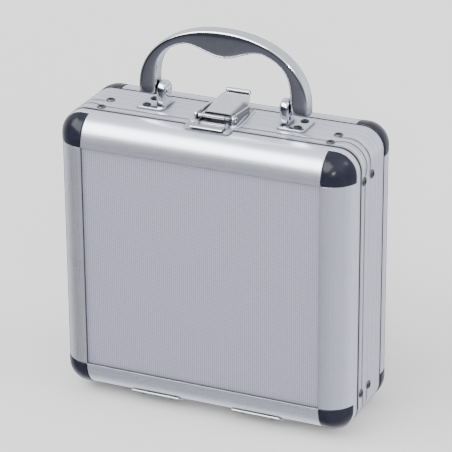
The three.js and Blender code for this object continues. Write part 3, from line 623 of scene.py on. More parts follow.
# The lid: lip, quarter-round, rim and the inside wall
def makeLidFrame():
    rim = case["lidRim"]
    wall = case["wall"]
    turn = np.linspace(0, math.pi / 2, 5)
    lipReach = case["window"] - lipEdge * (1 - np.cos(turn))
    lip = (lipReach, lipEdge * (1 - np.sin(turn)), np.full(5, lipCorner))
    cutLine = lidCap["depth"] + np.array([-0.01, 0.0, 0.05, 0.12, notch["round"]])
    angles = np.concatenate([np.linspace(0, math.pi / 2, 33), np.arccos(1 - cutLine / case["edge"])])
    angles = np.unique(angles)
    rounding = flatPart(rimEdge * (1 - np.cos(turn)), rim - rimEdge * (1 - np.sin(turn)))
    rows = profileTable([
        lip,
        roundRings(angles, 0.0),
        rounding,
        flatPart(wall, [rim]),
        roundRings(np.linspace(math.pi / 2, 0, 17), wall),
        (np.full(1, case["window"]), np.full(1, wall), np.full(1, lipCorner)),
    ])
    reach, depth = rows[:2]
    rimRow = 5 + len(angles)
    outerRow = np.zeros(len(reach))
    outerRow[5:rimRow] = 1
    # Painted shade: dark on the lip's inner wall by the panel, along the rim at the split, and at the inner
    # end
    crevice = np.zeros((len(reach), 1))
    crevice[:5, 0] = (0.8, 0.5, 0.25, 0.1, 0.0)
    crevice[rimRow - 1:rimRow + 6, 0] = (0.35, 0.6, 0.85, 0.95, 1.0, 1.0, 1.0)
    crevice[-1] = 1.0
    grid = frameGrid(perimeterColumns(), rows, depth, outerRow, lidCap["depth"], 1)
    putFrame("lidFrame", grid, "lid", "lid_frame", rows, crevice)


lidCap = {"depth": 12.5, "round": 0.7, "proud": 0.2, "inner": 0.85}
baseCap = {"depth": 19.5, "round": 0.7, "proud": 0.2, "inner": 0.85}
band = {
    "rib": 5.5,
    "frontGroove": 0.9,
    "frontGrooveDepth": 0.7,
    "rearGroove": 52.75,
    "rearGrooveWidth": 1.25,
    "rearGrooveDepth": 1.0,
    "cornerShift": 2.4,  # how far the front groove runs back round a corner
    "crease": 32.6,  # a pressed crease between the rivets, round the corners only
    "creaseDepth": 0.6,
    "tongue": 3.0,
    "tongueWall": 1.2,
    "gap": 0.3,
    "flange": 1.9,
}


# A groove's outline: straight sides with the lips rounded over
def grooveRows(start, width, depth, lip=0.15):
    insets = [0.0, 0.04, lip, depth, depth, lip, 0.04, 0.0]
    depths = [start - lip, start - 0.05, start, start + 0.04, start + width - 0.04, start + width]
    depths += [start + width + 0.05, start + width + lip]
    return np.array(insets), np.array(depths)


# The base: tongue, rib, two grooves, band, rear quarter-round, lip and the inside wall
def makeBaseFrame():
    rim = case["baseRim"]
    wall = case["wall"]
    deep = case["depth"]
    turn = np.linspace(0, math.pi / 2, 5)
    tongueOut = wall + band["gap"]
    tongueIn = tongueOut + band["tongueWall"]
    tip = rim - band["tongue"]
    front = [
        flatPart(tongueOut, [tip + 0.3, rim - 0.05]),
        flatPart([tongueOut - 0.05, rimEdge], [rim, rim]),
        flatPart(rimEdge * (1 - np.sin(turn)), rim + rimEdge * (1 - np.cos(turn))),
    ]
    cutLine = baseCap["depth"]
    share = deep - cutLine - np.array([notch["round"], 0.12, 0.05, 0.0, -0.01])
    crease = band["crease"]
    rearReach, rearDepth, rearRadius = roundRings(np.linspace(math.pi / 2, 0, 33), 0.0)
    outside = [
        flatPart(0.0, [rim + 0.55, rim + 2.5]),
        flatPart(*grooveRows(rim + band["rib"], band["frontGroove"], band["frontGrooveDepth"])),
        flatPart(0.0, [rim + 10.4]),
        flatPart(0.0, crease + np.array([-1.1, -0.55, 0.0, 0.55, 1.1])),
        flatPart(0.0, np.linspace(crease + 3, band["rearGroove"] - 3, 8)),
        flatPart(*grooveRows(band["rearGroove"], band["rearGrooveWidth"], band["rearGrooveDepth"])),
        flatPart(0.0, share),
        flatPart(0.0, [deep - cutLine + 1.2]),
        (rearReach, deep - rearDepth, rearRadius),
    ]
    lipReach = case["window"] - lipEdge * (1 - np.sin(turn))
    innerReach, innerDepth, innerRadius = roundRings(np.linspace(0, math.pi / 2, 17), wall)
    inside = [
        (lipReach, deep - lipEdge * (1 - np.cos(turn)), np.full(5, lipCorner)),
        (np.full(1, case["window"]), np.full(1, deep - wall), np.full(1, lipCorner)),
        (innerReach, deep - innerDepth, innerRadius),
        flatPart(wall, [40.0, rim + band["flange"] + 0.05]),
        flatPart(tongueIn, [rim + band["flange"], tip + 0.3]),
        flatPart([tongueIn - 0.3, tongueOut + 0.3], [tip, tip]),
    ]
    rows = profileTable(front + outside + inside)
    reach, depth = rows[:2]
    firstRow = sum(len(part[0]) for part in front)
    lipRow = firstRow + sum(len(part[0]) for part in outside)
    outerRow = np.zeros(len(reach))
    outerRow[firstRow:lipRow] = 1
    columns = perimeterColumns()
    near = cornerNear(columns)[None]
    frontGroove = slice(firstRow + 2, firstRow + 10)
    creaseRows = slice(firstRow + 11, firstRow + 16)
    rearGroove = slice(firstRow + 24, firstRow + 32)
    shift = np.zeros((len(reach), 1))
    shift[frontGroove] = band["cornerShift"]
    dent = np.zeros((len(reach), 1))
    dent[creaseRows, 0] = (0.0, 0.6, 1.0, 0.6, 0.0)
    # Painted shade: on the tongue and rim at the split, in both grooves, on the lip's inner wall and in the
    # crease, all deeper round the corners
    crevice = np.zeros((len(reach), 1))
    crevice[:firstRow + 1, 0] = (1, 1, 1, 1, 1, 1, 0.95, 0.85, 0.65, 0.2)
    groove = np.array([0, 0.3, 0.8, 1, 1, 0.95, 0.5, 0])
    crevice[frontGroove, 0] = groove * 0.8
    crevice[rearGroove, 0] = groove
    crevice[lipRow:lipRow + 6, 0] = (0.0, 0.1, 0.25, 0.5, 0.8, 1.0)
    crevice = crevice * (1 + 0.25 * near) + dent * near * 0.95
    grid = frameGrid(columns, rows, deep - depth, outerRow, cutLine, -1, shift * near,
                     dent * band["creaseDepth"] * near)
    putFrame("baseFrame", grid, "base", "base_frame", rows, crevice, ribbed=bandOnly)


shadeSeal = {"front": 16.82, "rear": 18.18, "outer": 0.15, "inner": 1.88, "round": 0.15}


# 1 on the flat band, for its wider draw marks
def bandOnly(points):
    y = points[:, 1]
    return ((y > case["baseRim"] + 0.5) & (y < case["depth"] - case["edge"])).astype(float)


# A black rubber seal on the base's tongue fills the split between the two rims: a guessed part, a dark strip
# where the split's shade falls
def makeShadeSeal():
    front, rear, outer, round = (shadeSeal[key] for key in ("front", "rear", "outer", "round"))
    reach, depth, radius = profileTable([
        flatPart([shadeSeal["inner"], outer + round], [front, front]),
        flatPart(outer, [front + round, rear - round]),
        flatPart([outer + round, shadeSeal["inner"]], [rear, rear]),
    ])
    x, z = ringGrid(perimeterColumns(), reach, radius)
    y = np.broadcast_to(depth[:, None], x.shape)
    putPiece("rimShadeSeal", ringBody(np.stack([x, y, z], -1)), blackRubber, "base")


makeLidFrame()
makeBaseFrame()
makeShadeSeal()
print("frames made")


# Corner caps: a patch of the case's outside from one straight side round the corner to the next,
# proud of the frame, with every edge rounded down

# x, z and depth of the patch at one corner: ten straight columns, the arc, and ten straight ones
def capPatch(angle, flat, round):
    turns = np.linspace(0, math.pi / 2, 25)
    near = np.array([0.0, 0.06, 0.16, 0.3, 0.48, round, 1.4])
    reach, depth = roundRings(angle, 0.0)[:2]
    cornerX = halfWidth - notch["cap"]
    cornerZ = midHeight - notch["cap"]
    sharp = notch["capCorner"]
    radius = sharp + (case["corner"] - sharp) * np.sin(angle)
    # from the cut to the arc, the near columns at fixed places
    length = np.maximum(halfWidth - reach - radius - cornerX, 0.02)
    share = np.concatenate([near / near[-1] * 0.45, 0.45 + np.linspace(0, 1, 5)[1:-1] * 0.55])
    straight = length[:, None] * share[None]
    arcX = (cornerX + length)[:, None] + radius[:, None] * np.sin(turns)[None]
    arcDrop = radius[:, None] * (1 - np.cos(turns))[None]
    sideX = np.broadcast_to((halfWidth - reach)[:, None], straight.shape)
    sideZ = (midHeight - reach)[:, None]
    x = np.concatenate([cornerX + straight, arcX, sideX], 1)
    topZ = np.broadcast_to(sideZ, straight.shape)
    z = np.concatenate([topZ, sideZ - arcDrop, cornerZ + straight[:, ::-1]], 1)
    return x, z, depth + flat


# Outside of a cap, moved out along the ring's outward ray: the lift falls as a quarter circle at the edges
def makeCap(name, body, settings, sideSign, endSign, front, stands):
    round = settings["round"]
    deepest = settings["depth"] - 0.25
    close = round * np.array([0.72, 0.45, 0.22, 0.07, 0.0])
    if front:
        fine = np.arccos(1 - (deepest - close) / case["edge"])
        angle = np.linspace(0, fine[-1], 21)
        angle = np.concatenate([angle[angle < fine[0] - 0.02], fine])
        flat = np.zeros_like(angle)
    else:
        tail = np.concatenate([[0.0, 0.6, 1.3], deepest - case["edge"] - close])
        angle = np.concatenate([np.linspace(0, math.pi / 2, 21), np.full(len(tail), math.pi / 2)])
        flat = np.concatenate([np.zeros(21), tail + 0.02])
    x, z, depth = capPatch(angle, flat, round)
    # how far each point lies from the nearest border
    fromCut = np.minimum(x - halfWidth, z - midHeight) + notch["cap"]
    fromRim = (deepest - depth)[:, None]
    fromFront = (case["edge"] * angle + flat)[:, None] + 0.05
    share = np.clip(np.minimum(np.minimum(fromCut, fromRim), fromFront) / round, 0, 1)
    lift = settings["proud"] - round * (1 - np.sqrt(1 - (1 - share) ** 2))
    across = np.concatenate([np.zeros(10), np.linspace(0, math.pi / 2, 25), np.full(10, math.pi / 2)])[None]
    rise = np.sin(angle)[:, None]
    outY = np.broadcast_to(-np.cos(angle)[:, None], x.shape)
    normal = np.stack([np.sin(across) * rise, outY, np.cos(across) * rise], -1)
    middle = np.stack([x, np.broadcast_to(depth[:, None], x.shape), z], -1)
    grids = []
    for grid in (middle + normal * lift[..., None], middle - normal * settings["inner"]):
        y = grid[..., 1] if front else case["depth"] - grid[..., 1]
        grids.append(np.stack([grid[..., 0] * sideSign, y, midHeight + grid[..., 2] * endSign], -1))
    putPiece(name, slabBody(*grids), navyPlastic, body, stands, 60)


for sideName, sideSign in sides:
    for endName, endSign in ends:
        place = f"{endName}_{sideName}"
        makeCap(f"lidCap_{place}", "lid", lidCap, sideSign, endSign, True, f"lid_corner_cap_{place}")
        makeCap(f"baseCap_{place}", "base", baseCap, sideSign, endSign, False, f"base_corner_cap_{place}")
print("caps made")


# Panels: a sheet with staggered dots, each the product of two slanting cosines

panelSize = {"face": 1.9, "thick": 2.4, "reach": 15.1}


# The lattice is counted from the panel's middle, within 0.1 mm of the finish's own
def makePanel(name, body, front, stands):
    step = emboss["pitch"] / 4
    halfX = halfWidth - panelSize["reach"]
    halfZ = midHeight - panelSize["reach"]
    lines = []
    for half in (halfX, halfZ):
        count = math.floor(half / step)
        lines.append(np.concatenate([[-half], np.arange(-count, count + 1) * step, [half]]))
    x, z = np.meshgrid(*lines)
    wave = 2 * math.pi / emboss["pitch"]
    dots = np.cos(wave * (x + z)) * np.cos(wave * (x - z))
    fade = np.minimum(halfX - np.abs(x), halfZ - np.abs(z))
    height = emboss["height"] * (dots * 0.5 + 0.5) * np.clip(fade / 2, 0, 1)
    face = np.stack([x, panelSize["face"] + emboss["height"] - height, z + midHeight], -1)
    back = face.copy()
    back[..., 1] = panelSize["face"] + panelSize["thick"]
    if not front:
        face[..., 1] = case["depth"] - face[..., 1]
        back[..., 1] = case["depth"] - back[..., 1]
    putPiece(name, slabBody(face, back), texturedSilver, body, stands, 80)


makePanel("lidPanel", "lid", True, "front_panel")
makePanel("rearPanel", "base", False, "back_panel")
print("panels made")


# The handle: a rounded section between the outer and the inner arch, with legs that end round their pins

handle = {
    "y": 38.0,
    "pivot": 9.9,
    "width": 103.2,
    "rise": 50.7,
    "thick": 9.0,
    "outerShoulder": 12.0,
    "outerPower": 2.1,
    "innerShoulder": 14.0,
    "innerPower": 3.0,
    "leg": 10.7,
    "taper": 0.9,
    "crown": 8.2,
    "drop": 7.6,
    "gripInset": 15.0,
    "foot": 2.7,
    "end": 0.5,  # rounding of a leg's square end
    "section": 5.5,  # power of the section's outline: 2 is round, more is squarer
}


# An arch: z rises from the shoulder to the crest by the given power while x runs across as a cosine
def archLine(turn, halfSpan, shoulder, crest, power):
    share = np.abs(np.cos(turn)) ** power
    return halfSpan * np.cos(turn), top + shoulder + (crest - shoulder) * (1 - share) ** (1 / power)


def handleRows():
    halfOuter = handle["width"] / 2
    halfInner = halfOuter - handle["leg"]
    turn = np.linspace(0, math.pi, 97)
    crest = handle["rise"]
    outerX, outerZ = archLine(turn, halfOuter, handle["outerShoulder"], crest, handle["outerPower"])
    crest = crest - handle["crown"]
    innerX, innerZ = archLine(turn, halfInner, handle["innerShoulder"], crest, handle["innerPower"])
    near = np.minimum(np.abs(innerX) / (halfInner - handle["gripInset"]), 1)
    innerZ = innerZ - handle["drop"] * (1 + np.cos(math.pi * near)) / 2
    deep = np.full_like(turn, handle["thick"] / 2)
    # the foot of a leg, from its end up to the shoulder
    pivot = top + handle["pivot"]
    rounds = np.radians([84, 66, 48, 32, 16, 0])
    close = handle["end"] * (1 - np.cos(rounds))
    footZ = pivot - handle["foot"] + handle["end"] * (1 - np.sin(rounds))
    footZ = np.concatenate([footZ, pivot + np.array([-1.6, -0.8, 0.0, 1.2])])
    close = np.concatenate([close, np.zeros(4)])
    footDeep = handle["thick"] / 2 - close
    lowOuter = halfOuter - close
    drop = (pivot + 2 - footZ) / (handle["foot"] + 2)
    lowInner = halfInner + handle["taper"] * drop + close
    right = (lowOuter, footZ, lowInner, footZ, footDeep)
    middle = (outerX, outerZ, innerX, innerZ, deep)
    left = (-lowOuter[::-1], footZ[::-1], -lowInner[::-1], footZ[::-1], footDeep[::-1])
    return [np.concatenate(parts) for parts in zip(right, middle, left)]


# The section runs round a superellipse: one axis joins the inner to the outer arch, the other is y
def makeHandle():
    outerX, outerZ, innerX, innerZ, deep = handleRows()
    turns = np.linspace(0, 2 * math.pi, 56, endpoint=False)
    power = 2 / handle["section"]
    wide = np.sign(np.cos(turns)) * np.abs(np.cos(turns)) ** power
    thick = np.sign(np.sin(turns)) * np.abs(np.sin(turns)) ** power
    middleX = (outerX + innerX) / 2
    middleZ = (outerZ + innerZ) / 2
    x = middleX[:, None] + (outerX - middleX)[:, None] * wide
    z = middleZ[:, None] + (outerZ - middleZ)[:, None] * wide
    y = handle["y"] + deep[:, None] * thick
    body = barBody(np.stack([x, y, z], -1))
    putPiece("carryHandle", body, brightChrome, "carry_handle", "handle", 50, crevice=legEndShade)


# Painted shade on a leg, deepening towards its end
def legEndShade(points):
    return np.clip((top + handle["pivot"] + 3.5 - points[:, 2]) / 5, 0, 1) * 0.7


makeHandle()

mount = {
    "earIn": 34.9,
    "earOut": 40.6,
    "earRadius": 5.5,
    "plateIn": 34.9,
    "plateOut": 51.3,
    "long": 19.0,
    "thick": 1.4,
    "corner": 2.4,
    "screwX": 46.35,
    "screwSpacing": 10.5,
    "pinRadius": 1.8,
    "pinHead": 3.2,
    "pinHeadHeight": 1.0,
    "pinReach": 7.5,
}


# An ear: its side view is a post with a round top, and its faces are domed by the levels
def earBody(sideSign):
    y = handle["y"]
    pivot = top + handle["pivot"]
    radius = mount["earRadius"]
    turns = np.linspace(0, math.pi, 25)
    arch = np.stack([y + radius * np.cos(turns), pivot + radius * np.sin(turns)], -1)
    rays = np.stack([np.cos(turns), np.sin(turns)], -1)
    foot = np.array([[y - radius, top + 0.5], [y + radius, top + 0.5]])
    footRays = np.array([[-1.0, 0.0], [1.0, 0.0]])
    outline = (np.concatenate([arch, foot]), np.concatenate([rays, footRays]))
    levels = softLevels(mount["earIn"], mount["earOut"], 1.9, 6)
    levels[:, 1] *= sideSign
    return plateBody(outline, levels, "x")


# A mount: its plate and ear, and the pin that goes through the ear into the leg
def makeMounts():
    y = handle["y"]
    half = mount["long"] / 2
    head = domeProfile(mount["pinHead"], mount["pinHeadHeight"], 0.25)
    for sideName, sideSign in sides:
        across = sorted([sideSign * mount["plateIn"], sideSign * mount["plateOut"]])
        outline = boxPath(*across, y - half, y + half, mount["corner"])
        plate = plateBody(outline, softLevels(top, top + mount["thick"], 0.5, 4, 0.05))
        name = f"handle_mount_{sideName}"
        putPiece(f"handleMount_{sideName}", [plate, earBody(sideSign)], brightChrome, "base", name, 35)
        start = (sideSign * mount["earIn"], y, top + handle["pivot"])
        end = (sideSign * (mount["earOut"] + mount["pinReach"]), *start[1:])
        pin = [turnedBody(head, start, (-sideSign, 0, 0)), rodBody(start, end, mount["pinRadius"])]
        putPiece(f"handlePin_{sideName}", pin, brightChrome, "base", f"handle_pin_{sideName}")


makeMounts()
print("handle made")


screw = {"radius": 2.4, "height": 1.0, "crossWidth": 0.62, "crossLength": 1.45, "crossDepth": 0.75}


# A screw head: a low dome on a polar grid with a cross cut into it
def screwBody(x, y, z):
    rings = np.concatenate([np.linspace(0.02, 0.97, 26), [1.0]])
    turns = np.linspace(0, 2 * math.pi, 96, endpoint=False)
    px = screw["radius"] * rings[:, None] * np.cos(turns)
    py = screw["radius"] * rings[:, None] * np.sin(turns)
    dome = screw["height"] * np.sqrt(np.clip(1 - (rings * 0.93) ** 2, 0, 1))[:, None]
    long = np.maximum(np.abs(px), np.abs(py))
    slim = np.minimum(np.abs(px), np.abs(py))
    inside = np.clip((screw["crossWidth"] / 2 - slim) / 0.08, 0, 1)
    inside = inside * np.clip((screw["crossLength"] - long) / 0.12, 0, 1)
    upper = np.stack([x + px, y + py, z + dome - inside * screw["crossDepth"]], -1)
    under = upper[-1:].copy()
    under[..., 2] = z - 0.3
    return barBody(np.concatenate([under, upper[::-1]]))


# Painted shade all over a screw head, most of it deep in the cross
def crossShade(points):
    return np.clip((top + mount["thick"] + screw["height"] - points[:, 2]) / 1.2, 0, 1) * 0.45 + 0.5


for sideName, sideSign in sides:
    for rowName, rowSign in (("front", -1), ("rear", 1)):
        name = f"{rowName}_{sideName}"
        y = handle["y"] + rowSign * mount["screwSpacing"] / 2
        head = screwBody(sideSign * mount["screwX"], y, top + mount["thick"])
        node = f"handle_mount_screw_{name}"
        putPiece(f"mountScrew_{name}", head, dullSteel, "base", node, crevice=crossShade)


# A strap of sheet carried along a path seen from the side: its section is a bar with rounded edges
# between a left and a right edge, square to the path
def strapBody(path, left, right, thick, ease=0.12, steps=4):
    path = np.asarray(path, float)
    count = len(path)
    left, right, thick = (np.full(count, value, float) for value in (left, right, thick))
    left[[0, -1]] += ease
    right[[0, -1]] -= ease
    thick[[0, -1]] *= 0.55
    tangent = np.gradient(path, axis=0)
    tangent = tangent / np.linalg.norm(tangent, axis=1, keepdims=True)
    turns = np.concatenate([np.linspace(k, k + 1, steps + 1) for k in range(4)]) * math.pi / 2
    signX = np.repeat([1, -1, -1, 1], steps + 1)
    signZ = np.repeat([1, 1, -1, -1], steps + 1)
    edge = thick[:, None] * 0.42
    side = np.where(signX > 0, right[:, None] - edge, left[:, None] + edge) + edge * np.cos(turns)
    rise = signZ * (thick[:, None] / 2 - edge) + edge * np.sin(turns)
    y = path[:, :1] - tangent[:, 1:] * rise
    z = path[:, 1:] + tangent[:, :1] * rise
    return barBody(np.stack([side, y, z], -1))


# An open line with rounded bends, in even short steps
def bentLine(corners, radius, spacing=0.25):
    steps = 10
    arcs = roundedPath(corners, radius, steps)[0].reshape(len(corners), steps + 1, 2)
    line = np.concatenate([[corners[0]], arcs[1:-1].reshape(-1, 2), [corners[-1]]])
    run = np.concatenate([[0], np.cumsum(np.linalg.norm(np.diff(line, axis=0), axis=1))])
    marks = np.linspace(0, run[-1], max(int(run[-1] / spacing), 4) + 1)
    return np.stack([np.interp(marks, run, line[:, 0]), np.interp(marks, run, line[:, 1])], -1)


# An arc that carries on from the end of a line, turning by so many degrees
def curledOn(line, radius, sweep, steps=24):
    heading = line[-1] - line[-2]
    heading = heading / np.linalg.norm(heading)
    sign = math.copysign(1, sweep)
    inward = np.array([-heading[1], heading[0]]) * sign
    centre = line[-1] + inward * radius
    turns = np.radians(np.linspace(0, abs(sweep), steps + 1))[1:, None]
    arc = centre - inward * radius * np.cos(turns) + heading * radius * np.sin(turns)
    return np.concatenate([line, arc])


# A tube: a closed ring of wall turned about its axis
def tubeBody(start, end, outerRadius, innerRadius, round=0.12, sides=32):
    start = np.asarray(start, float)
    axis = np.asarray(end, float) - start
    length = np.linalg.norm(axis)
    wall = boxPath(0, length, innerRadius, outerRadius, round, 2)[0]
    along = axis / length
    first = np.cross(along, (0.0, 0.0, 1.0))
    second = np.cross(along, first)
    turns = np.linspace(0, 2 * math.pi, sides, endpoint=False)
    spokes = np.cos(turns)[:, None] * first + np.sin(turns)[:, None] * second
    return ringBody(wall[:, 1, None, None] * spokes + wall[:, 0, None, None] * along + start)


# Set rivets: a flat head with a ring round a shallow dimple
def rivetProfile(radius, height):
    return [
        (radius * 0.9, -0.5), (radius, -0.4), (radius, height * 0.2), (radius * 0.97, height * 0.5),
        (radius * 0.88, height * 0.82), (radius * 0.74, height), (radius * 0.56, height * 0.97),
        (radius * 0.45, height * 0.65), (radius * 0.3, height * 0.45), (0.02, height * 0.4),
    ]


bracket = {
    "inset": 20.0,
    "rows": (22.5, 34.5),
    "radius": 2.6,
    "height": 0.8,
    "reach": 28.0,
    "under": 1.9,
    "thick": 1.2,
    "front": 20.2,
    "back": 37.4,
}


# The whole bracket is darkened a little, and painted shade sits deeper in the dimple of every rivet
def rivetDimples(points):
    x, y, z = points.T
    row = np.minimum(np.abs(y - bracket["rows"][0]), np.abs(y - bracket["rows"][1]))
    flat = np.abs(halfWidth - bracket["inset"] - np.abs(x))
    upright = np.abs(midHeight - bracket["inset"] - np.abs(z - midHeight))
    away = np.hypot(row, np.minimum(flat, upright))
    return np.clip((bracket["radius"] * 0.8 - away) / 0.5, 0, 1) * 0.55 + 0.3


# The bracket is an L of strip that follows the corner inside; its rivets show outside
def makeBrackets():
    under = bracket["under"]
    deep = under + bracket["thick"]
    reach = bracket["reach"]
    bends = [0.2, case["corner"] - under, 0.2, 0.2, case["corner"] - deep, 0.2]
    outer = [(reach, under), (under, under), (under, reach)]
    inner = [(deep, reach), (deep, deep), (reach, deep)]
    path, normals = roundedPath([halfWidth, midHeight] - np.array(outer + inner), bends, 12)
    profile = rivetProfile(bracket["radius"], bracket["height"])
    for sideName, sideSign in sides:
        for endName, endSign in ends:
            turn = np.array([sideSign, endSign])
            outline = (path * turn + [0, midHeight], normals * turn)
            bodies = [plateBody(outline, [(0, bracket["front"]), (0, bracket["back"])], "y")]
            x = sideSign * (halfWidth - bracket["inset"])
            z = midHeight + endSign * (midHeight - bracket["inset"])
            for y in bracket["rows"]:
                bodies.append(turnedBody(profile, (x, y, midHeight + endSign * midHeight), (0, 0, endSign)))
                bodies.append(turnedBody(profile, (sideSign * halfWidth, y, z), (sideSign, 0, 0)))
            name = f"{endName}_{sideName}"
            node = f"corner_bracket_{name}"
            putPiece(f"cornerBracket_{name}", bodies, dullSteel, "base", node, crevice=rivetDimples)


makeBrackets()

foot = {
    "x": 56.0,
    "rows": (27.5, 51.5),
    "top": 6.2,
    "bottom": 5.5,
    "height": 4.6,
    "stud": 2.0,
    "hollow": 2.6,
}


# A rubber foot, turned: a stud, a flared skirt and a hollow in its face
def makeFeet():
    profile = [
        (foot["stud"] * 0.8, -3.0), (foot["stud"], -2.8), (foot["stud"], 0.05), (foot["top"] - 0.3, 0.05),
        (foot["top"], 0.35), (foot["top"] - 0.05, 0.9), (foot["bottom"] + 0.12, foot["height"] - 0.6),
        (foot["bottom"] - 0.05, foot["height"] - 0.2), (foot["bottom"] - 0.45, foot["height"]),
        (foot["hollow"] + 0.3, foot["height"]), (foot["hollow"], foot["height"] - 0.3),
        (foot["hollow"] - 0.2, foot["height"] - 1.4), (0.05, foot["height"] - 1.5),
    ]
    for sideName, sideSign in sides:
        for rowName, y in zip(("front", "rear"), foot["rows"]):
            name = f"{rowName}_{sideName}"
            body = turnedBody(profile, (sideSign * foot["x"], y, 0), (0, 0, -1), 48)
            putPiece(f"rubberFoot_{name}", body, blackRubber, "base", f"foot_{name}")


makeFeet()

hinge = {
    "x": 31.8,
    "long": 30.0,
    "y": 17.5,
    "z": -2.15,
    "knuckle": 1.8,
    "bore": 1.05,
    "pin": 0.75,
    "head": 1.3,
    "headLength": 0.6,
    "gap": 0.3,
    "leaf": 1.2,
    "baseEnd": 31.4,
    "lidStart": 5.6,
    "rivetSpacing": 18.0,
    "baseRivetY": 26.9,
    "lidRivetY": 11.35,
    "rivet": 2.0,
    "rivetHeight": 0.6,
}


# Height of the case's outside over a depth, measured in from its flat face
def roundDrop(depth, lift=0.0):
    radius = case["edge"] + lift
    reach = np.clip((case["edge"] - depth) / radius, 0, 1)
    return radius * (1 - np.sqrt(1 - reach ** 2)) - lift


# Hinges: a flat leaf under the base, a leaf bent round the lid's edge, three knuckles and a pin
def makeHinges():
    axis = (hinge["y"], hinge["z"])
    third = hinge["long"] / 3
    plateGap = hinge["knuckle"] + hinge["gap"]
    profile = rivetProfile(hinge["rivet"], hinge["rivetHeight"])
    for sideName, sideSign in sides:
        x0 = sideSign * hinge["x"] - hinge["long"] / 2
        x1 = x0 + hinge["long"]
        middle = (x0 + third + hinge["gap"] / 2, x1 - third - hinge["gap"] / 2)
        outer = ((x0, middle[0] - hinge["gap"]), (middle[1] + hinge["gap"], x1))
        spots = [sideSign * hinge["x"] + end * hinge["rivetSpacing"] / 2 for end in (-1, 1)]
        plate = plateBody(boxPath(x0, x1, hinge["y"] + plateGap, hinge["baseEnd"], 1.6),
                          softLevels(-hinge["leaf"], -0.02, 0.05, 3, 0.3))
        web = bentLine([(hinge["y"] + plateGap + 1, -0.62), (hinge["y"] + 0.5, -0.7)], 0.2)
        knuckle = tubeBody((middle[0], *axis), (middle[1], *axis), hinge["knuckle"], hinge["bore"])
        rivets = [turnedBody(profile, (x, hinge["baseRivetY"], -hinge["leaf"]), (0, 0, -1)) for x in spots]
        bodies = [plate, strapBody(web, *middle, 1.1), knuckle] + rivets
        putPiece(f"baseHingeLeaf_{sideName}", bodies, zincSteel, "base", f"hinge_base_leaf_{sideName}")
        depth = np.linspace(hinge["lidStart"], hinge["y"] - plateGap + 0.4, 40)
        line = np.stack([depth, roundDrop(depth, hinge["gap"] + hinge["leaf"] / 2)], -1)
        bodies = [strapBody(line, x0, x1, hinge["leaf"] * 0.96)]
        for low, high in outer:
            web = bentLine([(hinge["y"] - plateGap - 0.3, -0.9), (hinge["y"] - 0.4, -0.95)], 0.2)
            bodies.append(strapBody(web, low, high, 1.1))
            bodies.append(tubeBody((low, *axis), (high, *axis), hinge["knuckle"], hinge["bore"]))
        bottom = float(roundDrop(np.array(hinge["lidRivetY"]), hinge["gap"] + hinge["leaf"]))
        slope = (case["edge"] - hinge["lidRivetY"]) / (case["edge"] + hinge["gap"] + hinge["leaf"])
        square = (0, -slope, -math.sqrt(1 - slope ** 2))
        bodies += [turnedBody(profile, (x, hinge["lidRivetY"], bottom + 0.02), square) for x in spots]
        putPiece(f"lidHingeLeaf_{sideName}", bodies, zincSteel, "lid", f"hinge_lid_leaf_{sideName}")
        low = x0 - hinge["gap"]
        high = x1 + hinge["gap"]
        pin = [
            rodBody((low, *axis), (high, *axis), hinge["pin"]),
            rodBody((low - hinge["headLength"], *axis), (low, *axis), hinge["head"]),
            rodBody((high, *axis), (high + hinge["headLength"], *axis), hinge["head"]),
        ]
        putPiece(f"hingePin_{sideName}", pin, zincSteel, "base", f"hinge_pin_{sideName}")


makeHinges()
print("brackets, feet and hinges made")


# The latch: a riveted plate with two cheeks, a lever with a rolled tab, a framed hook and the lid's keeper

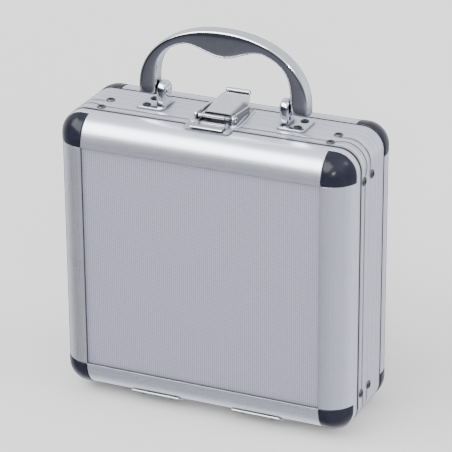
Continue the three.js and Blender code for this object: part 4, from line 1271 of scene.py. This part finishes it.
latch = {
    "pivot": (25.0, 3.6),
    "hookPivot": (29.6, 3.0),
    "pinX": 12.05,
    "pinIn": 9.8,
    "pinRadius": 0.9,
    "pinHead": (1.8, 0.65),
    "hookPinReach": 10.35,
    "hookPinRadius": 0.7,
    "plateFront": 20.8,
    "plateBack": 52.0,
    "halfFront": 16.0,
    "halfBack": 13.5,
    "plateCorner": 3.2,
    "plate": 0.62,  # height of the plate's border
    "field": 1.02,  # height of its pressed field
    "domes": (5.25, 38.5),
    "dome": (1.8, 0.5, 0.1),  # radius, height and skirt
    "cheek": ((22.1, 0.6), (45.8, 0.6), (45.8, 4.5), (22.1, 6.2)),
    "cheekBends": (0.3, 0.7, 1.6, 2.7),
    "cheekIn": 10.8,
    "cheekOut": 12.0,
    "tongue": 8.0,
    "half": 10.2,
    "nose": (23.5, 4.1),
    "noseRadius": 0.98,
    "lever": ((28.0, 4.2), (36.0, 4.7), (49.0, 5.35), (57.0, 7.1)),
    "roll": (0.86, 262),  # radius and degrees of the rolled end
    "tab": 7.3,
    "sheet": 0.95,
    "flat": 5.2,  # half the width of the lever's level middle
    "fall": 1.9,  # how far its sides drop
    "slotEnd": 32.4,
    "flange": ((23.2, 1.6), (33.0, 1.6), (42.0, 2.9), (42.0, 3.5), (23.2, 3.6)),
    "flangeBends": (0.9, 3, 0.2, 0.2, 0.9),
    "flangeSides": (9.7, 10.15),
    "railIn": 9.1,
    "rail": ((26.5, 3.3), (34.0, 3.0), (42.0, 3.4)),
    "hookHalf": 10.0,
    "strapHalf": 8.4,  # inner edge of the hook's side strips
    "claw": ((10.95, 1.15), (10.95, 1.85), (14.4, 1.9)),
    "strip": ((13.6, 1.9), (21.0, 2.1)),
    "arm": ((20.4, 2.08), (25.5, 2.15)),
    "clawSheet": 0.62,
    "stripSheet": 0.66,
    "armSheet": 0.9,
    "armWide": 0.6,
    "eye": 1.1,
    "keeperHalf": 14.2,
    "keeperFront": 10.6,
    "keeperBack": 16.8,
    "keeperCorner": 3.0,
    "keeperLift": 0.66,  # the sheet's middle over the lid's outside
    "keeperSheet": 1.05,
    "keeperLip": ((12.6, 0.7), (12.6, 1.4)),
    "lipHalf": 10.4,
    "lipSheet": 0.8,
    "keeperRivets": (12.4, 13.8),
    "keeperDome": (1.6, 0.5, 0.1),
    "keeperFace": 0.95,
}


def raised(points):
    return np.asarray(points, float) + [0, top]


# The plate's raised field, on a grid: its border falls off as a quarter circle and its corners are round
def pressedField(front, back, wide, slim):
    inset, corner, soft = 2.2, 2.2, 0.6
    rows = np.linspace(front + 0.9, back - inset, 90)
    y, share = np.meshgrid(rows, np.linspace(-1, 1, 90), indexing="ij")
    half = np.interp(y, (front, back), (wide, slim)) - inset
    aside = corner - (1 - np.abs(share)) * half
    endways = corner - np.minimum(y - front - 0.9, back - inset - y)
    inward = corner - np.hypot(np.clip(aside, 0, None), np.clip(endways, 0, None))
    fall = 1 - np.clip(inward / soft, 0, 1)
    height = np.where(inward < 0, 0.4, latch["field"] - 0.36 * (1 - np.sqrt(1 - fall ** 2)))
    upper = np.stack([share * half, y, top + height], -1)
    under = upper.copy()
    under[..., 2] = top + 0.3
    return slabBody(upper, under)


def makeLatchBase():
    front, back = latch["plateFront"], latch["plateBack"]
    wide, slim = latch["halfFront"], latch["halfBack"]
    corners = [(-wide, front), (wide, front), (slim, back), (-slim, back)]
    outline = roundedPath(corners, latch["plateCorner"], 8)
    bodies = [plateBody(outline, softLevels(top, top + latch["plate"], 0.3, 4, 0.05))]
    bodies.append(pressedField(front, back, wide, slim))
    cheek = roundedPath(raised(latch["cheek"]), latch["cheekBends"], 8)
    for sign in (-1, 1):
        low, high = sorted((sign * latch["cheekIn"], sign * latch["cheekOut"]))
        bodies.append(plateBody(cheek, softLevels(low, high, 0.4, 4), "x"))
        spot = (sign * latch["domes"][0], latch["domes"][1], top + latch["field"])
        bodies.append(turnedBody(domeProfile(*latch["dome"]), spot, (0, 0, 1)))
    putPiece("latchPlate", bodies, latchChrome, "base", "latch_base", crevice=underLever)
    for sideName, sideSign in sides:
        seat = (sideSign * latch["pinX"], latch["pivot"][0], top + latch["pivot"][1])
        head = turnedBody(rivetProfile(*latch["pinHead"]), seat, (sideSign, 0, 0))
        pin = [head, rodBody((sideSign * latch["pinIn"], *seat[1:]), seat, latch["pinRadius"])]
        putPiece(f"latchPin_{sideName}", pin, brightChrome, "base", f"latch_pin_{sideName}", crevice=dimpled)


# 0 at the start and 1 over a length, for the dirt's soft edges
def rampUp(value, start, length):
    return np.clip((value - start) / length, 0, 1)


# Painted shade on the plate below the lever, on the cheeks' outer faces and at the plate's sides
def underLever(points):
    x, y, z = points.T
    aside = np.abs(x)
    field = (z > top + 0.63) & (z < top + 1.1)
    inside = field * rampUp(-aside, -11.2, 0.5) * rampUp(y, 21.9, 0.3) * rampUp(-y, -50, 1.5)
    cheek = rampUp(aside, 11.75, 0.2) * (aside < 12.1) * (z > top + 0.55)
    rim = rampUp(aside, latch["halfBack"] - 0.2, 1.2) * (y > 24.5)
    return np.maximum(np.maximum(inside * 0.9, cheek * 0.8), rim * 0.55)


# Painted shade in the dimple of a pin's head
def dimpled(points):
    away = np.hypot(points[:, 1] - latch["pivot"][0], points[:, 2] - top - latch["pivot"][1])
    return rampUp(-away, -1.15, 0.3) * 0.85


# A plate along a path whose two sides round over and down, by less and less towards the tab
def shellBody(line, half):
    share = np.sin(np.linspace(-1, 1, 33) * math.pi / 2)
    x = half[:, None] * share
    aside = rampUp(np.abs(x), latch["flat"], latch["half"] - latch["flat"])
    fall = np.interp(line[:, 0], (28, 46, 52), (latch["fall"], latch["fall"], 0))[:, None]
    fall = fall * (1 - np.sqrt(1 - 0.96 * aside ** 2))
    tangent = np.gradient(line, axis=0)
    tangent = tangent / np.linalg.norm(tangent, axis=1, keepdims=True)
    thick = latch["sheet"] / 2 * (1 - np.abs(share) ** 12 * 0.6)
    grids = []
    for rise in (thick - fall, -thick - fall):
        y = line[:, :1] - tangent[:, 1:] * rise
        z = line[:, 1:] + tangent[:, :1] * rise
        grids.append(np.stack([x, y, z], -1))
    return slabBody(*grids)


# The lever: a rolled nose, two side rails with flanges, and a plate that narrows to a rolled end
def makeLatchLever():
    line = curledOn(bentLine(raised(latch["lever"]), [0, 12, 9, 0]), *latch["roll"])
    edge = latch["half"]
    marks = [0, latch["slotEnd"], latch["slotEnd"] + 0.7, 45.5, 48.5, 52.5, 55.8, 80]
    widths = [latch["tongue"]] * 2 + [edge] * 2 + [9.9, 8.7, latch["tab"], latch["tab"]]
    bodies = [shellBody(line, np.interp(line[:, 0], marks, widths))]
    nose = raised(latch["nose"])
    for low, high, round in ((-edge, -7.2, 0.8), (-7.3, 6.2, 0.1), (6.1, edge, 0.8)):
        bodies.append(rodBody((low, *nose), (high, *nose), latch["noseRadius"], round))
    flange = roundedPath(raised(latch["flange"]), latch["flangeBends"], 8)
    rail = bentLine(raised([latch["nose"], *latch["rail"]]), [0, 3, 10, 0])
    for sign in (-1, 1):
        low, high = sorted(sign * side for side in latch["flangeSides"])
        bodies.append(plateBody(flange, softLevels(low, high, 0.15, 3), "x"))
        low, high = sorted((sign * latch["railIn"], sign * edge))
        bodies.append(strapBody(rail, low, high, 1.1))
    putPiece("latchLever", bodies, latchChrome, "latch_lever", "latch_lever", crevice=belowRails)
    pivot = raised(latch["hookPivot"])
    reach = latch["hookPinReach"]
    pin = rodBody((-reach, *pivot), (reach, *pivot), latch["hookPinRadius"])
    putPiece("hookPin", pin, zincSteel, "latch_lever", "latch_hook_pin")


# Painted shade on the lever's underside, down its rounded right side, along the nose growing to the right,
# and on the plate's front edge behind the nose
def belowRails(points):
    x, y, z = points.T
    aside = rampUp(x, 6.0, 2.4) * rampUp(-y, -50, 4) * rampUp(y, 25.2, 0.6)
    behind = np.where((y > 26.8) & (y < 28.6) & (np.abs(x) < 8.4), 0.95, 0.0)
    nose = np.interp(x, (-9.6, -7.6, 5.8, 7.5), (0, 0.34, 0.44, 0.8)) * (y < 25.4)
    under = np.where(z < top + 2.9, 0.85, 0.0)
    return np.maximum.reduce([under, aside * 0.75, nose, behind])


# The hook: a claw at the front, two side strips and two arms with eyes
def makeLatchHook():
    half = latch["hookHalf"]
    inner = latch["strapHalf"]
    claw = bentLine(raised(latch["claw"]), [0, 0.6, 0])
    bodies = [strapBody(claw, -half, half, latch["clawSheet"])]
    pivot = raised(latch["hookPivot"])
    arm = bentLine(raised([*latch["arm"], latch["hookPivot"]]), [0, 2, 0])
    for sign in (-1, 1):
        low, high = sorted((sign * inner, sign * half))
        bodies.append(strapBody(bentLine(raised(latch["strip"]), 0.1), low, high, latch["stripSheet"]))
        low, high = sorted((sign * inner, sign * (inner + latch["armWide"])))
        bodies.append(strapBody(arm, low, high, latch["armSheet"]))
        bodies.append(plateBody(circlePath(*pivot, latch["eye"]), softLevels(low, high, 0.15, 3), "x"))
    putPiece("latchHook", bodies, softChrome, "latch_hook", "latch_hook", crevice=insideClaw)


# Painted shade on the hook's low parts, inside the claw
def insideClaw(points):
    return rampUp(-points[:, 2], -top - 1.6, 0.3) * 0.3


# The keeper is bent over the lid's rounded edge, with a lip for the claw
def makeKeeper():
    depth = np.linspace(latch["keeperBack"], latch["keeperFront"] + 0.1, 36)
    line = np.stack([depth, top - roundDrop(depth) + latch["keeperLift"]], -1)
    corner = latch["keeperCorner"]
    near = np.clip(corner - (depth - latch["keeperFront"]), 0, corner)
    half = latch["keeperHalf"] - corner + np.sqrt(corner ** 2 - near ** 2)
    bodies = [strapBody(line, -half, half, latch["keeperSheet"])]
    lip = bentLine(raised(latch["keeperLip"]), 0.1)
    bodies.append(strapBody(lip, -latch["lipHalf"], latch["lipHalf"], latch["lipSheet"]))
    x, y = latch["keeperRivets"]
    for sign in (-1, 1):
        spot = (sign * x, y, top + latch["keeperFace"])
        bodies.append(turnedBody(domeProfile(*latch["keeperDome"]), spot, (0, 0, 1)))
    putPiece("lidKeeper", bodies, softChrome, "lid", "latch_keeper", crevice=underHook)


# Painted shadow on the keeper under the hook
def underHook(points):
    x, y, z = points.T
    return np.where((np.abs(x) < 10.2) & (y > 11.3) & (z < top + 2.0), 0.4, 0.0)


makeLatchBase()
makeLatchLever()
makeLatchHook()
makeKeeper()
print("latch made")


# Foam: blocks whose rows narrow round the corners of the case

foam = {
    "side": 5.0,
    "corner": 9.5,
    "crown": 0.9,
    "crownRun": 3.5,
    "wall": 8.0,
    "trayFront": 21.2,
    "trayBack": 69.2,
    "floor": 12.0,
    "columns": 3,
    "rows": 2,
    "padFront": 4.6,
    "padThick": 10.0,
    "padWave": 16.0,
    "padBump": 4.2,
    "pocketCorner": 4.0,
}


foamX = halfWidth - foam["side"]
foamZ = midHeight - foam["side"]


# Half the width of a block at each height: full, then along the corner's arc
def foamHalf(z):
    corner = foam["corner"]
    over = np.clip(np.abs(z) - (foamZ - corner), 0, corner)
    return foamX - corner + np.sqrt(corner ** 2 - over ** 2)


# How far a point lies inside a block's border, and the crown that rounds the border down
def foamRim(x, z):
    rim = np.minimum(foamHalf(z) - np.abs(x), foamZ - np.abs(z))
    return rim, foam["crown"] * (1 - np.clip(rim / foam["crownRun"], 0, 1)) ** 2


def foamLines(half, edges, step=2.4, near=2.2, fine=0.45):
    lines = [np.linspace(-half, half, int(2 * half / step) + 1)]
    lines += [edge + np.arange(-near, near + 0.01, fine) for edge in edges]
    lines = np.unique(np.round(np.concatenate(lines), 3))
    lines = lines[np.abs(lines) <= half]
    return lines[np.concatenate([[True], np.diff(lines) > 0.12])]


# Size and centres of so many equal pockets across a block, a wall apart
def pocketRow(half, count):
    wall = foam["wall"]
    size = (2 * (half - wall) - (count - 1) * wall) / count
    return size, [wall - half + size / 2 + k * (size + wall) for k in range(count)]


# Depth of the pockets: a smooth step down inside each rounded rectangle
def makeTray():
    wide, centresX = pocketRow(foamX, foam["columns"])
    tall, centresZ = pocketRow(foamZ, foam["rows"])
    edgesX = [centre + side * wide / 2 for centre in centresX for side in (-1, 1)]
    edgesZ = [centre + side * tall / 2 for centre in centresZ for side in (-1, 1)]
    x, z = np.meshgrid(foamLines(foamX, edgesX), foamLines(foamZ, edgesZ))
    x = x * foamHalf(z) / foamX
    round = foam["pocketCorner"]
    depth = np.zeros_like(x)
    for centreX in centresX:
        for centreZ in centresZ:
            outX = np.abs(x - centreX) - wide / 2 + round
            outZ = np.abs(z - centreZ) - tall / 2 + round
            away = np.hypot(np.clip(outX, 0, None), np.clip(outZ, 0, None)) - round
            away = away + np.minimum(np.maximum(outX, outZ), 0)
            share = np.clip(0.5 - away / 1.1, 0, 1)
            depth = np.maximum(depth, share * share * (3 - 2 * share))
    full = foam["trayBack"] - foam["floor"] - foam["trayFront"]
    crown = foamRim(x, z)[1]
    front = np.stack([x, foam["trayFront"] + crown + depth * full, z + midHeight], -1)
    back = np.stack([x, np.full_like(x, foam["trayBack"]), z + midHeight], -1)
    tray = putPiece("foamTray", slabBody(front, back), greyFoam, "base", "foam_tray", 70)


# The lid's pad is egg-crate foam: a product of two sines, easing off to a plain border
def makeLidPad():
    x, z = np.meshgrid(np.linspace(-foamX, foamX, 160), np.linspace(-foamZ, foamZ, 150))
    x = x * foamHalf(z) / foamX
    rim, crown = foamRim(x, z)
    wave = 2 * math.pi / foam["padWave"]
    bumps = (1 - np.sin(wave * x) * np.sin(wave * z)) / 2
    depth = crown + foam["padBump"] * bumps * np.clip((rim - 3) / 7, 0, 1)
    rear = foam["padFront"] + foam["padThick"]
    back = np.stack([x, rear - depth, z + midHeight], -1)
    front = np.stack([x, np.full_like(x, foam["padFront"]), z + midHeight], -1)
    pad = putPiece("foamLidPad", slabBody(back, front), greyFoam, "lid", "lid_foam_pad", 70)


makeTray()
makeLidPad()
print("foam made")


# Floor and light

def makeStage():
    mesh = bpy.data.meshes.new("floor")
    half = 3.0  # metres
    corners = [(-half, -half, 0), (half, -half, 0), (half, half, 0), (-half, half, 0)]
    mesh.from_pydata(corners, [], [(0, 1, 2, 3)])
    floor = bpy.data.objects.new("floor", mesh)
    floor.is_shadow_catcher = True
    floor.visible_glossy = False
    bpy.context.scene.collection.objects.link(floor)
    material = newMaterial("paleFloor", (0.8, 0.8, 0.8), 0.0, 0.7)[0]
    mesh.materials.append(material)


room = {
    "backdrop": (1.0, 1.0, 1.02, 1),
    "backdropStrength": 1.8,
    "turn": (-0.25, 0.35),  # where the front half gives way to the back half
    "sides": (0.3, 3.2),  # the front half's strength at the left and at the right
    # the front and back halves by height, from straight down to straight up
    "front": (
        (0.0, (0.30, 0.31, 0.36)),
        (0.14, (0.22, 0.23, 0.26)),
        (0.24, (0.165, 0.168, 0.19)),
        (0.34, (0.14, 0.143, 0.165)),
        (0.40, (0.05, 0.055, 0.07)),
        (0.57, (0.04, 0.045, 0.06)),
        (0.66, (0.12, 0.125, 0.15)),
        (0.76, (0.36, 0.37, 0.42)),
        (0.86, (0.74, 0.75, 0.81)),
        (1.0, (0.95, 0.96, 1.0)),
    ),
    "back": (
        (0.0, (1.5, 1.52, 1.64)),
        (0.14, (1.2, 1.22, 1.32)),
        (0.24, (0.80, 0.81, 0.88)),
        (0.34, (0.80, 0.81, 0.88)),
        (0.42, (1.12, 1.14, 1.2)),
        (0.56, (1.12, 1.14, 1.2)),
        (0.66, (1.0, 1.01, 1.08)),
        (1.0, (1.08, 1.09, 1.14)),
    ),
}


# The room that the metal reflects, by height: dark low down in front, pale behind with one dark band
def makeRoom():
    world = bpy.data.worlds.new("paleRoom")
    world.use_nodes = True
    tree = world.node_tree
    out = tree.nodes["World Output"]
    around = tree.nodes["Background"]
    way = tree.nodes.new("ShaderNodeTexCoord").outputs["Generated"]
    sight = addNode(tree, "ShaderNodeSeparateXYZ", {0: way}).outputs
    height = spread(tree, sight["Z"], 0.0, 1.0, -1.0, 1.0)
    halves = []
    for key in ("front", "back"):
        ramp = tree.nodes.new("ShaderNodeValToRGB")
        stops = ramp.color_ramp.elements
        while len(stops) < len(room[key]):
            stops.new(0.5)
        for stop, (place, colour) in zip(stops, room[key]):
            stop.position = place
            stop.color = (*colour, 1)
        tree.links.new(height, ramp.inputs[0])
        halves.append(ramp.outputs[0])
    share = spread(tree, sight["Y"], 0.0, 1.0, *room["turn"])
    slant = spread(tree, sight["X"], *room["sides"], -0.8, 0.8)
    lit = mixed(tree, share, mixed(tree, 1.0, halves[0], slant, "MULTIPLY"), halves[1])
    tree.links.new(lit, around.inputs["Color"])
    values = {"Color": room["backdrop"], "Strength": room["backdropStrength"]}
    plain = addNode(tree, "ShaderNodeBackground", values)
    seen = tree.nodes.new("ShaderNodeLightPath").outputs["Is Camera Ray"]
    both = addNode(tree, "ShaderNodeMixShader", {0: seen, 1: around.outputs[0], 2: plain.outputs[0]})
    tree.links.new(both.outputs[0], out.inputs["Surface"])
    bpy.context.scene.world = world


def addSoftbox(name, at, aim, size, power, mirrored=True):
    data = bpy.data.lights.new(name, "AREA")
    data.shape = "RECTANGLE"
    data.size, data.size_y = size
    data.energy = power
    lamp = bpy.data.objects.new(name, data)
    sight = np.asarray(aim, float) - np.asarray(at, float)
    sight = sight / np.linalg.norm(sight)
    side = np.cross(sight, (0, 0, 1))
    side = side / np.linalg.norm(side)
    up = np.cross(side, sight)
    lamp.matrix_world = axesAt(side, up, -sight, at)
    lamp.visible_glossy = mirrored
    bpy.context.scene.collection.objects.link(lamp)


makeStage()
makeRoom()
addSoftbox("keySoftbox", (-0.76, -0.88, 1.42), (0, 0, 0.1), (2.2, 0.96), 51)
addSoftbox("pointLamp", (0.52, -1.35, 0.74), (0.08, -0.03, 0.17), (0.08, 0.08), 5.0)
addSoftbox("rimLamp", (1.12, -0.04, 1.25), (0.08, -0.03, 0.17), (0.4, 0.4), 2.6)
addSoftbox("sideFill", (1.5, 0.1, 0.7), (0, 0, 0.1), (0.8, 0.9), 14, False)
addSoftbox("frontFill", (0.9, -1.3, 0.7), (0, 0, 0.1), (1.2, 0.9), 18, False)
print("stage made")
